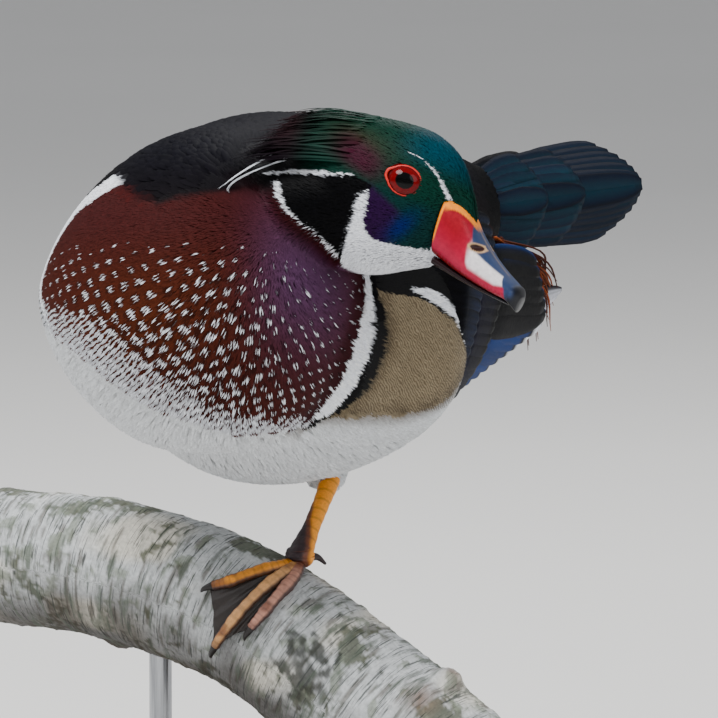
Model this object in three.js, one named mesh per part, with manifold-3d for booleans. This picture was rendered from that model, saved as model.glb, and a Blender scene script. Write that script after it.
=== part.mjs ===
// A life-size wood duck drake that stands on its left leg on a cut length of birch branch, and looks
// down over its left shoulder. Two short rods hold the branch above a flat base.
// Millimetres, +Z up. The breast faces -Y, and the bird's left side is +X.
import * as THREE from "three";
import { mergeVertices } from "three/addons/utils/BufferGeometryUtils.js";
import Module from "manifold-3d";

const wasm = await Module();
wasm.setup();

// Driving dimensions. Places are measured from the middle of the round breast.
const GAP = 0.3; // between pieces that touch
const WIDE_GAP = 0.9; // the same to a coarse copy of the torso, whose faces lie inside its curve
const LEAN = 16; // degrees, the body leans over to its left
const BREAST_RADIUS = 59;
const BREAST_HEIGHT = 226; // middle of the breast above the floor
const TAIL_ROOT_Y = 176; // where the flesh ends

const HEAD_AT = [82.1, 3, 44.9]; // point between the eyes
const HEAD_TURN = 98.6; // degrees to the bird's left of straight ahead
const HEAD_DOWN = 24.9; // degrees
const HEAD_ROLL = -6.2; // degrees, the crown tips towards the breast
const EYE_RADIUS = 6.2;
const EYE_SINK = 4.2; // middle of an eye behind the plane of its lids
const LID_RING = 5.7;
const LID_THICK = 1.15;
const BILL_TIP = 53; // ahead of the eyes

const TAIL_AT = [6, 164, 18];
const TAIL_LENGTH = 124;
const TAIL_TWIST = 82; // degrees, its left edge down
const TAIL_SWING = -4; // degrees, to the bird's left

const HEEL = [9.9, 68, -70.5]; // of the left leg
const ANKLE = [14.2, 40, -92.2];
const TARSUS_RADIUS = 3;
const TOE_RADIUS = 1.9;
const WEB_THICK = 1;
const CLAW_LENGTH = 6;

const PERCH_RADIUS = 25.5;
const PERCH_Y = 44;
const ROD_RADIUS = 4;
const BASE = { width: 190, depth: 150, height: 14 };

const colours = {
  chestnut: 0x5a1f17,
  white: 0xe6e6e2,
  black: 0x0d0d10,
  green: 0x0d4a3c,
  blue: 0x1d4f8a,
  tail: 0x141c2c,
  red: 0xc42436,
  eyeRed: 0xc01818,
  lid: 0xd8402a,
  orange: 0xd08a1e,
  bark: 0xa9a79c,
  steel: 0x8d9094,
  plinth: 0x2b2927,
};

const vector = (x, y, z) => new THREE.Vector3(x, y, z);
const mix = THREE.MathUtils.lerp;
const radians = THREE.MathUtils.degToRad;
const bulge = (value, power) => Math.sign(value) * Math.abs(value) ** power;
const bell = (value) => Math.exp(-value * value);

// Smooth values between rows of [position, value, value, ...].
function smooth(rows) {
  const size = rows[0].length - 1;
  const between = new THREE.CubicInterpolant(
    rows.map((row) => row[0]),
    rows.flatMap((row) => row.slice(1)),
    size,
  );
  return (position) => Array.from(between.evaluate(position)).slice(0, size);
}

function solidOf(geometry) {
  const bare = geometry.index ? geometry.toNonIndexed() : geometry.clone();
  bare.deleteAttribute("normal");
  bare.deleteAttribute("uv");
  const merged = mergeVertices(bare, 1e-3);
  return new wasm.Manifold(
    new wasm.Mesh({
      numProp: 3,
      vertProperties: merged.attributes.position.array,
      triVerts: new Uint32Array(merged.index.array),
    }),
  );
}

function solidFromFaces(points, faces) {
  const geometry = new THREE.BufferGeometry().setFromPoints(points);
  geometry.setIndex(faces.flat());
  const solid = solidOf(geometry);
  if (solid.volume() >= 0) return solid;
  geometry.setIndex(faces.map(([a, b, c]) => [a, c, b]).flat());
  return solidOf(geometry);
}

function joined(solids) {
  return wasm.Manifold.union(solids);
}

function largest(solid) {
  const bodies = solid.decompose();
  return bodies.reduce((best, body) => (body.volume() > best.volume() ? body : best));
}

function geometryOf(solid) {
  const mesh = solid.getMesh();
  const geometry = new THREE.BufferGeometry();
  geometry.setAttribute("position", new THREE.BufferAttribute(mesh.vertProperties, 3));
  geometry.setIndex(new THREE.BufferAttribute(mesh.triVerts, 1));
  geometry.computeVertexNormals();
  return geometry;
}

function place(group, name, solid, colour, roughness = 0.75, metalness = 0) {
  const finish = new THREE.MeshStandardMaterial({ color: colour, roughness, metalness });
  const mesh = new THREE.Mesh(geometryOf(largest(solid)), finish);
  mesh.name = name;
  group.add(mesh);
}

// A closed skin over rings of points, each end closed on the middle of its ring.
function skin(rings, sides, pointAt) {
  const points = [];
  const faces = [];
  for (let ring = 0; ring < rings; ring++) {
    for (let side = 0; side < sides; side++) {
      points.push(pointAt(ring / (rings - 1), (2 * Math.PI * side) / sides));
    }
  }
  for (const ring of [0, rings - 1]) {
    const middle = vector(0, 0, 0);
    for (let side = 0; side < sides; side++) {
      middle.addScaledVector(points[ring * sides + side], 1 / sides);
    }
    points.push(middle);
  }
  const first = rings * sides;
  const end = (rings - 1) * sides;
  for (let side = 0; side < sides; side++) {
    const next = (side + 1) % sides;
    for (let ring = 0; ring < rings - 1; ring++) {
      const a = ring * sides + side;
      const b = ring * sides + next;
      faces.push([a, b, b + sides], [a, b + sides, a + sides]);
    }
    faces.push([first, next, side], [first + 1, end + side, end + next]);
  }
  return solidFromFaces(points, faces);
}

// A thin closed sheet: middleAt gives a point on it, outAt its normal, thickAt its thickness.
// Both faces are split into the same triangles.
function sheet(along, across, middleAt, outAt, thickAt) {
  const points = [];
  const faces = [];
  const count = (along + 1) * (across + 1);
  for (const face of [0.5, -0.5]) {
    for (let i = 0; i <= along; i++) {
      for (let j = 0; j <= across; j++) {
        const s = i / along;
        const c = (2 * j) / across - 1;
        points.push(middleAt(s, c).addScaledVector(outAt(s, c), face * thickAt(s, c)));
      }
    }
  }
  const at = (i, j) => i * (across + 1) + j;
  const wall = (a, b) => faces.push([a, a + count, b + count], [a, b + count, b]);
  for (let i = 0; i < along; i++) {
    for (let j = 0; j < across; j++) {
      const [a, b, c, d] = [at(i, j), at(i + 1, j), at(i + 1, j + 1), at(i, j + 1)];
      faces.push([a, b, c], [a, c, d]);
      faces.push([a + count, c + count, b + count], [a + count, d + count, c + count]);
    }
    wall(at(i, 0), at(i + 1, 0));
    wall(at(i + 1, across), at(i, across));
  }
  for (let j = 0; j < across; j++) {
    wall(at(0, j + 1), at(0, j));
    wall(at(along, j), at(along, j + 1));
  }
  return solidFromFaces(points, faces);
}

// A tapered tube along a curve, squeezed across by flat.
function taper(curve, radiusAt, rings, sides, flat = 1, up = vector(0, 0, 1)) {
  return skin(rings, sides, (t, angle) => {
    const ahead = curve.getTangentAt(t);
    const side = vector(0, 0, 0).crossVectors(up, ahead).normalize();
    const rise = vector(0, 0, 0).crossVectors(ahead, side);
    const radius = radiusAt(t);
    return curve
      .getPointAt(t)
      .addScaledVector(side, radius * flat * Math.cos(angle))
      .addScaledVector(rise, radius * Math.sin(angle));
  });
}

function ball(radius, at, columns = 20, rows = 14) {
  const geometry = new THREE.SphereGeometry(radius, columns, rows);
  geometry.translate(...at);
  return solidOf(geometry);
}

// Torso, in the body's frame: distance behind the middle of the breast, then top, underside,
// half width, and the height where it is widest.
const torsoAt = smooth([
  [0, 63, -54, 56, -9],
  [30, 65, -67, 61, -12],
  [60, 62, -72, 61, -14],
  [85, 58, -65, 56, -11],
  [110, 52, -48, 46, -4],
  [135, 46, -28, 34, 4],
  [155, 41, -11, 25, 9],
  [TAIL_ROOT_Y, 35, 4, 15, 15],
]);
const BACK_ROUND = 1.1; // above 1 flattens the shoulders of a section
const BELLY_ROUND = 1.14;
const BREAST_LIFT = 9; // the middle of each section rises by this much towards the front
const FLANK = { y: 70, length: 28, turn: -0.28, spread: 0.75, out: 8 }; // feathers over the wing

function torsoPoint(y, angle, grow = 0) {
  const ahead = Math.max(0, -y) / BREAST_RADIUS;
  const [top, under, half, widest] = torsoAt(THREE.MathUtils.clamp(y, 0, TAIL_ROOT_Y));
  const cap = Math.sqrt(Math.max(0, 1 - ahead * ahead));
  const rise = Math.sin(angle);
  const height = rise > 0 ? top - widest : widest - under;
  const round = rise > 0 ? BACK_ROUND : BELLY_ROUND;
  const turned = Math.asin(rise) - FLANK.turn;
  const flank = FLANK.out * bell((y - FLANK.y) / FLANK.length) * bell(turned / FLANK.spread);
  return vector(
    (half * cap + flank) * bulge(Math.cos(angle), round) + grow * Math.cos(angle),
    y,
    widest + BREAST_LIFT * ahead * ahead + height * cap * bulge(rise, round) + grow * rise,
  );
}

function torsoForm(grow = 0, rings = 26, sides = 32) {
  const CAP_SHARE = 0.34; // of the rings are on the round breast
  const CAP_TURN = 88.5; // degrees, the first ring is a small one
  return skin(rings, sides, (t, angle) => {
    if (t > CAP_SHARE) {
      const y = mix(0, TAIL_ROOT_Y + grow, (t - CAP_SHARE) / (1 - CAP_SHARE));
      return torsoPoint(y, angle, grow);
    }
    const turn = radians(CAP_TURN) * (1 - t / CAP_SHARE);
    const point = torsoPoint(-BREAST_RADIUS * Math.sin(turn), angle, grow * Math.cos(turn));
    return point.setY(point.y - grow * Math.sin(turn));
  });
}

// Head, in its own frame: +X towards the bill, +Z up, the eyes on the Y axis.
// Distance ahead of the eyes, then top, underside, half width, and the height where it is widest.
const HEAD_BACK = -46;
const HEAD_FRONT = 29;
const headAt = smooth([
  [HEAD_BACK, -1, -26, 8, -12],
  [-38, 6, -36, 12.5, -15],
  [-26, 12, -42, 15.5, -14],
  [-12, 16.3, -40, 16, -12],
  [2, 17.4, -35, 14.6, -9],
  [12, 13.5, -28, 11.2, -8],
  [18, 8, -24, 7.2, -9],
  [24, 1, -21, 4.6, -11],
  [HEAD_FRONT, -7.4, -17, 1.6, -12],
]);

function headForm(grow = 0) {
  const END_SHARE = 0.55; // the first and last rings are drawn in
  return skin(20, 26, (t, angle) => {
    const x = mix(HEAD_BACK - grow, HEAD_FRONT + grow, t);
    const [top, under, half, widest] = headAt(THREE.MathUtils.clamp(x, HEAD_BACK, HEAD_FRONT));
    const height = Math.sin(angle) > 0 ? top - widest : widest - under;
    const end = t === 0 || t === 1 ? END_SHARE : 1;
    return vector(
      x,
      end * (half + grow) * Math.cos(angle),
      widest + end * (height + grow) * Math.sin(angle),
    );
  });
}

// Bill: distance ahead of the eyes, then the culmen, the line of the mouth, and half width.
const upperBillAt = smooth([
  [12, 3, -18.6, 9.8],
  [18, 1.5, -19.2, 9.4],
  [24, -1.5, -20.2, 9],
  [29, -5.6, -21, 8.7],
  [36, -10.6, -22, 8.4],
  [43, -14.8, -23, 8.2],
  [48, -17.4, -23.8, 7.6],
  [51.5, -19.6, -25.4, 5.4],
  [BILL_TIP + 0.5, -22.8, -26.6, 1.8],
]);
const lowerBillAt = smooth([
  [16, -19.4, -23.2, 6.2],
  [24, -20.6, -23.6, 5.4],
  [36, -22.4, -24.5, 4.8],
  [45, -23.7, -25.4, 4.4],
  [49.5, -24.9, -26, 3],
]);
const BILL_BACK = { normal: [0.985, 0, 0.17], at: 14.2 }; // where the bill meets the face

function billForm(profile, from, to, rings, lift = 0) {
  return skin(rings, 16, (t, angle) => {
    const x = mix(from, to, t);
    const [top, mouth, half] = profile(x);
    const rise = Math.sin(angle);
    const z = mix(mouth, top, 0.5 + 0.5 * bulge(rise, 0.8)) + lift;
    return vector(x, half * bulge(Math.cos(angle), 0.75), z);
  });
}

function nostril(side) {
  const hole = new THREE.SphereGeometry(1, 10, 6);
  hole.scale(2.4, 1.5, 1.1);
  hole.rotateY(0.6);
  hole.translate(31.5, side * 6.4, -13.2);
  return solidOf(hole);
}

// The plane of an eye's lids: its middle, and an axis that looks out, forward and a little up.
function eyeFrame(side) {
  const out = vector(0.27, side, 0.14).normalize();
  const across = vector(0, 0, 1).cross(out).normalize();
  const rise = out.clone().cross(across);
  return new THREE.Matrix4().makeBasis(across, rise, out).setPosition(0.3, side * 13.4, 0);
}

function lidRing(side, grow = 0) {
  const ring = new THREE.TorusGeometry(LID_RING, LID_THICK + grow, 6, 20);
  ring.scale(1.12, 1, 1);
  ring.applyMatrix4(eyeFrame(side));
  return solidOf(ring);
}

function eyeBall(side, grow = 0) {
  const geometry = new THREE.SphereGeometry(EYE_RADIUS + grow, 16, 12);
  geometry.translate(0, 0, -EYE_SINK);
  geometry.applyMatrix4(eyeFrame(side));
  return solidOf(geometry);
}

// A tapered lock along a bent line, flat across the way out.
function lockForm(points, halfWidth, thick, out) {
  const line = new THREE.QuadraticBezierCurve3(...points);
  const spot = (s, c) => {
    const across = vector(0, 0, 0).crossVectors(line.getTangent(s), out).normalize();
    return line.getPoint(s).addScaledVector(across, c * halfWidth * mix(1, 0.22, s * s));
  };
  return sheet(4, 1, spot, () => out, (s) => thick * mix(1, 0.45, s));
}

// Crest: locks grow from a short core behind the crown, and their tips rest on the near shoulder.
// The core and the roots are in the head's frame, and restAt gives a place on the shoulder there.
function crestForm(restAt) {
  const LOCKS = 7;
  const line = new THREE.CatmullRomCurve3([
    vector(-14, 0, 6),
    vector(-32, -1, 1),
    vector(-45, -4, -8),
    vector(-51, -8, -17),
  ]);
  const pieces = [taper(line, (t) => mix(10.5, 4, t), 7, 12, 0.62, vector(0, 1, 0))];
  for (const near of [1, 0]) {
    for (let n = 0; n < LOCKS; n++) {
      const low = n / (LOCKS - 1);
      const side = near ? -1 : 1;
      const root = vector(mix(-16, -40, low), side * mix(2, 6, low), mix(13.5, -14, low));
      const tip = restAt(mix(-14, -33, low) - 2 * near, mix(82, 66, low), mix(11, 2.6, low));
      const middle = root.clone().lerp(tip, 0.5).add(vector(-5, side * mix(1, 3, low), mix(8, 4, low)));
      const out = vector(0, side, mix(0.6, 0.1, low)).normalize();
      pieces.push(lockForm([root, middle, tip], 3.4, 1.4, out));
    }
  }
  return joined(pieces);
}

// Neck: from inside the left shoulder to the back of the head.
function neckForm(headMatrix) {
  const nape = vector(-20, 0, -16).applyMatrix4(headMatrix);
  const line = new THREE.CatmullRomCurve3([vector(12, 2, 14), vector(34, -4, 32), nape]);
  return taper(line, (t) => mix(27, 17.5, t), 7, 20, 1, vector(0, -1, 0));
}

// Wings. The folded feathers lie over one smooth form in the body's frame: distance behind the
// middle of the breast, then top, underside, half width, and the height where it is widest.
const wingAt = smooth([
  [30, 66, -72, 62, -14],
  [60, 65, -74, 61, -14],
  [85, 61, -68, 58, -13],
  [110, 57, -60, 53, -11],
  [140, 51, -52, 47, -9],
  [170, 45, -45, 42, -8],
  [200, 40, -40, 37, -7],
]);

// A point of the wing at a height on the folded form, a little further out by lift. The wing's
// shape says which side it is on, how far its tip is raised, and how far that is drawn in.
function wingPoint({ side, raise, tuck }, y, z, lift) {
  const [top, under, half, widest] = wingAt(y);
  const round = z > widest ? BACK_ROUND : BELLY_ROUND;
  const reach = z > widest ? top - widest : widest - under;
  const share = Math.min(0.97, Math.abs(z - widest) / reach);
  const behind = Math.max(0, (y - 60) / 130);
  const x = half * (1 - share ** (2 / round)) ** (round / 2) - tuck * behind * behind;
  return vector(side * (x + lift), y, z + raise * behind);
}

function wingOut(wing, y, z) {
  const STEP = 1;
  const along = wingPoint(wing, y + STEP, z, 0).sub(wingPoint(wing, y - STEP, z, 0));
  const rise = wingPoint(wing, y, z + STEP, 0).sub(wingPoint(wing, y, z - STEP, 0));
  return along.cross(rise).multiplyScalar(wing.side).normalize();
}

// One feather of a wing, from root to tip as distance back and height. Its lower edge stands out
// by TILT, over the feather below it, and its root goes in to ROOT_LIFT.
const TILT = 1.7;
const ROOT_LIFT = -2;

function wingFeather(wing, root, tip, halfWidth, lift, blunt) {
  const run = Math.hypot(tip[0] - root[0], tip[1] - root[1]);
  const lie = [(tip[0] - root[0]) / run, (tip[1] - root[1]) / run];
  const width = (s) => halfWidth * mix(0.6, 1, Math.min(1, 2 * s)) * Math.sqrt(1 - (0.93 * s) ** blunt);
  const spot = (s, c) => [
    mix(root[0], tip[0], s) - lie[1] * c * width(s),
    mix(root[1], tip[1], s) + lie[0] * c * width(s),
  ];
  const rise = (s, c) => mix(ROOT_LIFT, lift, Math.min(1, 2 * s)) - TILT * c * s;
  return sheet(
    4,
    1,
    (s, c) => wingPoint(wing, ...spot(s, c), rise(s, c)),
    (s, c) => wingOut(wing, ...spot(s, c)),
    (s) => mix(1.3, 0.7, s),
  );
}

// Tiers of a folded wing, from the innermost out: how many feathers, their first and last root
// and tip, half width, how far out they lie, and how blunt their tips are.
const wingTiers = [
  { count: 3, roots: [[104, 0], [104, -7]], tips: [[192, -3], [180, -12]], half: 5, lift: -1.2, blunt: 3 },
  { count: 6, roots: [[84, 5], [84, -16]], tips: [[172, -12], [116, -27]], half: 7, lift: 1.2, blunt: 8 },
  { count: 4, roots: [[72, 24], [78, 6]], tips: [[150, 13], [172, -7]], half: 8.5, lift: 4.4, blunt: 5 },
  { count: 4, roots: [[70, 12], [72, -16]], tips: [[112, 5], [104, -23]], half: 6.5, lift: 4, blunt: 8 },
  { count: 3, roots: [[52, 36], [58, 18]], tips: [[106, 33], [114, 16]], half: 8.5, lift: 6, blunt: 5 },
];

const VANE_STEP = 0.7; // each feather of a tier lies this much under the one above it

function wingForm(wing) {
  const ARM = { middle: [72, 6], length: 34, height: 24, thick: 6 };
  const arm = new THREE.SphereGeometry(1, 12, 8);
  arm.scale(ARM.thick, ARM.length, ARM.height);
  const shoulder = wingPoint(wing, ...ARM.middle, -4.5);
  arm.translate(...shoulder.toArray());
  const pieces = [solidOf(arm)];
  for (const { count, roots, tips, half, lift, blunt } of wingTiers) {
    for (let n = 0; n < count; n++) {
      const share = n / (count - 1);
      const between = ([from, to]) => from.map((value, k) => mix(value, to[k], share));
      pieces.push(wingFeather(wing, between(roots), between(tips), half, lift - VANE_STEP * n, blunt));
    }
  }
  return joined(pieces);
}

// Tail, in its own frame: +Y to its tip, the fan in the XY plane. Each feather lies under the one
// nearer the middle, and its outer edge is the lower one.
function tailFeather(offset, length, halfWidth, lift) {
  const root = vector(offset * 7, 0, lift);
  const tip = vector(offset * 14, length, lift - 1.5 * offset * offset);
  const width = (s) => halfWidth * mix(0.5, 1, Math.min(1, 1.6 * s)) * Math.sqrt(1 - (0.92 * s) ** 9);
  const spot = (s, c) => {
    return root.clone().lerp(tip, s).add(vector(c * width(s), 0, -0.9 * Math.sign(offset) * c));
  };
  return sheet(4, 1, spot, () => vector(0, 0, 1), (s) => mix(1.1, 0.7, s));
}

// A tier of tail feathers: how many on each side, their length in the middle, how much shorter
// the outermost are, their height in the middle, and how far each lies under the last.
function tailTier(eachSide, length, shorten, halfWidth, lift, step) {
  const feathers = [];
  for (let n = 0; n < eachSide; n++) {
    for (const side of [1, -1]) {
      const offset = (side * (n + 0.5)) / (eachSide - 0.5);
      const level = n + (side > 0 ? 0 : 0.5);
      const reach = length - shorten * offset * offset;
      feathers.push(tailFeather(offset, reach, halfWidth, lift - step * level));
    }
  }
  return feathers;
}

function tailForm() {
  const root = new THREE.SphereGeometry(1, 14, 10);
  root.scale(14, 32, 11);
  root.translate(0, 8, -2);
  return joined([
    solidOf(root),
    ...tailTier(5, TAIL_LENGTH, 22, 7.5, 2, 1.15),
    ...tailTier(3, 66, 12, 7, 6.5, 1.2),
    ...tailTier(3, 72, 12, 7, -5.8, 1.2),
  ]);
}

// Perch: the middle line of the branch.
const perchLine = new THREE.CatmullRomCurve3([
  vector(-112, PERCH_Y, -101),
  vector(-57, PERCH_Y, -104),
  vector(-8, PERCH_Y, -117),
  vector(35, PERCH_Y, -141),
  vector(60, PERCH_Y, -157),
  vector(82, PERCH_Y, -173),
]);
const KNOTS = [
  { along: 0.86, turn: 0.9, high: 4.5 },
  { along: 0.24, turn: -1.9, high: 6 },
];

// A point above the bark. The angle runs from the front of the perch over its top.
function perchPoint(along, angle, lift) {
  const ahead = perchLine.getTangentAt(along);
  const side = vector(0, 0, 0).crossVectors(ahead, vector(0, 0, 1)).normalize();
  const rise = vector(0, 0, 0).crossVectors(side, ahead);
  let radius = PERCH_RADIUS + mix(-1, 1.5, along) + lift;
  for (const knot of KNOTS) {
    const turned = Math.atan2(Math.sin(angle - knot.turn), Math.cos(angle - knot.turn));
    radius += knot.high * bell(Math.hypot((along - knot.along) * 16, turned * 2.2));
  }
  return perchLine
    .getPointAt(along)
    .addScaledVector(side, radius * Math.cos(angle))
    .addScaledVector(rise, radius * Math.sin(angle));
}

function perchForm(grow = 0) {
  return skin(22, 20, (t, angle) => perchPoint(t, angle, grow));
}

// Feet. A toe is a tapered tube with a hooked claw, and webs join the front three.
function toeForm(line, radius) {
  const toe = taper(line, (t) => radius * mix(1.25, 0.8, t) * (1 + 0.1 * Math.cos(14 * t)), 7, 7);
  const tip = line.getPointAt(1);
  const ahead = line.getTangentAt(1);
  const claw = new THREE.QuadraticBezierCurve3(
    tip.clone().addScaledVector(ahead, -2),
    tip.clone().addScaledVector(ahead, 0.55 * CLAW_LENGTH),
    tip.clone().addScaledVector(ahead, CLAW_LENGTH),
  );
  return joined([toe, taper(claw, (t) => mix(radius * 0.78, 0.35, t), 4, 6)]);
}

function webForm(lineA, lineB, reach) {
  const spot = (s, c) => {
    const share = 0.5 + 0.5 * c;
    const run = mix(0.06, reach - 0.22 * (1 - c * c), s);
    return lineA.getPointAt(run).lerp(lineB.getPointAt(run), share);
  };
  const out = (s, c) => {
    const STEP = 0.02;
    const along = spot(s + STEP, c).sub(spot(s - STEP, c));
    const across = spot(s, c + STEP).sub(spot(s, c - STEP));
    return along.cross(across).normalize();
  };
  return sheet(6, 2, spot, out, () => WEB_THICK);
}

// Front toes of the left foot on the perch: where each goes along it, and round it in degrees.
const FOOT_ALONG = 0.545;
const FOOT_TURN = 84;
const frontToes = [
  { bend: [0.52, 52], tip: [0.462, 22] },
  { bend: [0.545, 36], tip: [0.512, -22] },
  { bend: [0.566, 48], tip: [0.566, 8] },
];

function grippingFoot() {
  const onPerch = (along, degrees) => perchPoint(along, radians(degrees), TOE_RADIUS + 1);
  const root = onPerch(FOOT_ALONG, FOOT_TURN);
  const lines = frontToes.map(
    ({ bend, tip }) => new THREE.CatmullRomCurve3([root, onPerch(...bend), onPerch(...tip)]),
  );
  const pieces = lines.map((line) => toeForm(line, TOE_RADIUS));
  const hind = new THREE.CatmullRomCurve3([
    root.clone().add(vector(1, 3, 2)),
    root.clone().add(vector(5, 9, 1)),
    root.clone().add(vector(7, 13, -3)),
  ]);
  pieces.push(toeForm(hind, TOE_RADIUS * 0.8));
  pieces.push(webForm(lines[0], lines[1], 0.96), webForm(lines[1], lines[2], 0.92));
  pieces.push(ball(4.3, root.clone().add(vector(0, 1, 1)).toArray(), 12, 8));
  return joined(pieces).subtract(perchForm(GAP));
}

// The right leg is folded up under the rear of the belly, its toes closed.
function tuckedLines() {
  const onBelly = (y, degrees, lift) => torsoPoint(y, radians(degrees), lift);
  const heel = onBelly(106, 236, 4);
  const ankle = onBelly(72, 230, 7);
  const toes = [0, 1, 2].map((n) => {
    const joint = onBelly(52, 226 + 3 * n, 4.5);
    return new THREE.CatmullRomCurve3([ankle, joint, onBelly(28 + 5 * n, 222 + 5 * n, 3.5)]);
  });
  return { heel, ankle, toes };
}

// Puts the parts together. The body leans as one group, and the head and tail turn on their own.
const model = new THREE.Group();
const aboutBreast = new THREE.Group();
model.add(aboutBreast);

const body = new THREE.Group();
body.rotation.y = radians(LEAN);
const head = new THREE.Group();
head.position.set(...HEAD_AT);
head.rotation.set(radians(HEAD_ROLL), radians(HEAD_DOWN), radians(HEAD_TURN - 90), "ZYX");
const tail = new THREE.Group();
tail.position.set(...TAIL_AT);
tail.rotation.set(0, radians(TAIL_TWIST), radians(TAIL_SWING), "ZXY");
aboutBreast.add(body, head, tail);
for (const group of [body, head, tail]) group.updateMatrix();

// A solid made about the breast's middle, as seen from a turned group, and the other way round.
const seenFrom = (group, solid) => solid.transform(group.matrix.clone().invert().elements);
const outOf = (group, solid) => solid.transform(group.matrix.elements);

const torsoInBody = torsoForm(WIDE_GAP, 18, 24);
const torsoCut = outOf(body, torsoInBody);
const headCut = headForm(GAP);
place(body, "torso", torsoForm(), colours.chestnut);

const neck = neckForm(head.matrix).subtract(torsoCut).subtract(outOf(head, headCut));
place(aboutBreast, "neck", neck, colours.chestnut);
const neckCut = neckForm(head.matrix);

const lids = [1, -1].map((side) => lidRing(side));
const torsoInHead = seenFrom(head, torsoCut);
let skull = headForm().subtract(torsoInHead);
for (const side of [1, -1]) {
  skull = skull.subtract(lidRing(side, GAP)).subtract(eyeBall(side, GAP));
}
place(head, "head", skull, colours.green);
const shoulderToHead = head.matrix.clone().invert().multiply(body.matrix);
const restAt = (y, degrees, lift) => torsoPoint(y, radians(degrees), lift).applyMatrix4(shoulderToHead);
const crest = crestForm(restAt).subtract(headCut).subtract(torsoInHead).subtract(seenFrom(head, neckCut));
place(head, "crest", crest, colours.green);
["left", "right"].forEach((name, n) => {
  const side = n === 0 ? 1 : -1;
  place(head, "eye_" + name, eyeBall(side), colours.eyeRed, 0.1);
  place(head, "lid_" + name, lids[n].subtract(eyeBall(side, GAP)), colours.lid);
});

const upperBill = billForm(upperBillAt, 12, BILL_TIP, 16)
  .trimByPlane(BILL_BACK.normal, BILL_BACK.at)
  .subtract(headCut)
  .subtract(nostril(1))
  .subtract(nostril(-1));
const lowerBill = billForm(lowerBillAt, 16, 49.5, 9)
  .subtract(headCut)
  .subtract(billForm(upperBillAt, 12, BILL_TIP, 12, -GAP));
place(head, "bill_upper", upperBill, colours.red, 0.35);
place(head, "bill_lower", lowerBill, colours.black, 0.4);

const leftWing = { side: 1, raise: 0, tuck: 0 };
const rightWing = { side: -1, raise: 18, tuck: 17 };
place(body, "wing_left", wingForm(leftWing).subtract(torsoInBody), colours.blue);
place(body, "wing_right", wingForm(rightWing).subtract(torsoInBody), colours.blue);
place(tail, "tail", tailForm().subtract(seenFrom(tail, torsoCut)), colours.tail);

// Left leg
const heel = vector(...HEEL);
const ankle = vector(...ANKLE);
const foot = grippingFoot();
const footRoot = perchPoint(FOOT_ALONG, radians(FOOT_TURN), TOE_RADIUS + 1);
const knob = ball(5.2, footRoot.add(vector(0, 1, 1)).toArray());
const shin = taper(new THREE.LineCurve3(heel, ankle), (t) => TARSUS_RADIUS * mix(1.15, 1, t), 4, 14, 0.8)
  .subtract(knob);
const thigh = taper(
  new THREE.LineCurve3(heel.clone().add(vector(2, 4, 22)), heel.clone().lerp(ankle, 0.05)),
  (t) => mix(15, 4.6, t),
  5,
  18,
);
place(aboutBreast, "foot_left", foot, colours.orange);
place(aboutBreast, "shin_left", shin.subtract(thigh).subtract(torsoCut), colours.orange);
place(aboutBreast, "thigh_left", thigh.subtract(torsoCut), colours.white);

// Right leg
const tucked = tuckedLines();
const tuckedFoot = joined([
  ...tucked.toes.map((line) => toeForm(line, TOE_RADIUS)),
  ball(4.2, tucked.ankle.toArray(), 12, 8),
]).subtract(torsoInBody);
const tuckedShin = taper(new THREE.LineCurve3(tucked.heel, tucked.ankle), () => TARSUS_RADIUS, 4, 14, 0.8);
place(body, "foot_right", tuckedFoot, colours.orange);
place(
  body,
  "shin_right",
  tuckedShin.subtract(ball(4.6, tucked.ankle.toArray(), 14, 10)).subtract(torsoInBody),
  colours.orange,
);

// Perch and stand
place(aboutBreast, "perch", perchForm(), colours.bark);
function rod(x) {
  const LENGTH = 110;
  const geometry = new THREE.CylinderGeometry(ROD_RADIUS, ROD_RADIUS, LENGTH, 24);
  geometry.rotateX(Math.PI / 2);
  geometry.translate(x, PERCH_Y, BASE.height - BREAST_HEIGHT + GAP + LENGTH / 2);
  return solidOf(geometry).subtract(perchForm(GAP));
}
const plate = new THREE.BoxGeometry(BASE.width, BASE.depth, BASE.height);
plate.translate(0, PERCH_Y + 2, BASE.height / 2 - BREAST_HEIGHT);
place(aboutBreast, "stand_base", solidOf(plate), colours.plinth, 0.5);
place(aboutBreast, "stand_rod_left", rod(30), colours.steel, 0.3, 0.9);
place(aboutBreast, "stand_rod_right", rod(-45), colours.steel, 0.3, 0.9);

// The origin is on the floor, under the middle of the whole model.
const extent = new THREE.Box3().setFromObject(aboutBreast, true);
const middle = extent.getCenter(vector(0, 0, 0));
aboutBreast.position.set(-middle.x, -middle.y, -extent.min.z);

export default model;
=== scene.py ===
# A life-size wood duck drake on a cut birch branch: its finish, feather by feather.
# Shapes are worked out in millimetres, from the frame's own boxes, and scaled to metres at the end.
import math

import bpy
import numpy as np
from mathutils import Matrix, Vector
from mathutils.bvhtree import BVHTree
from mathutils.kdtree import KDTree


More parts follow.
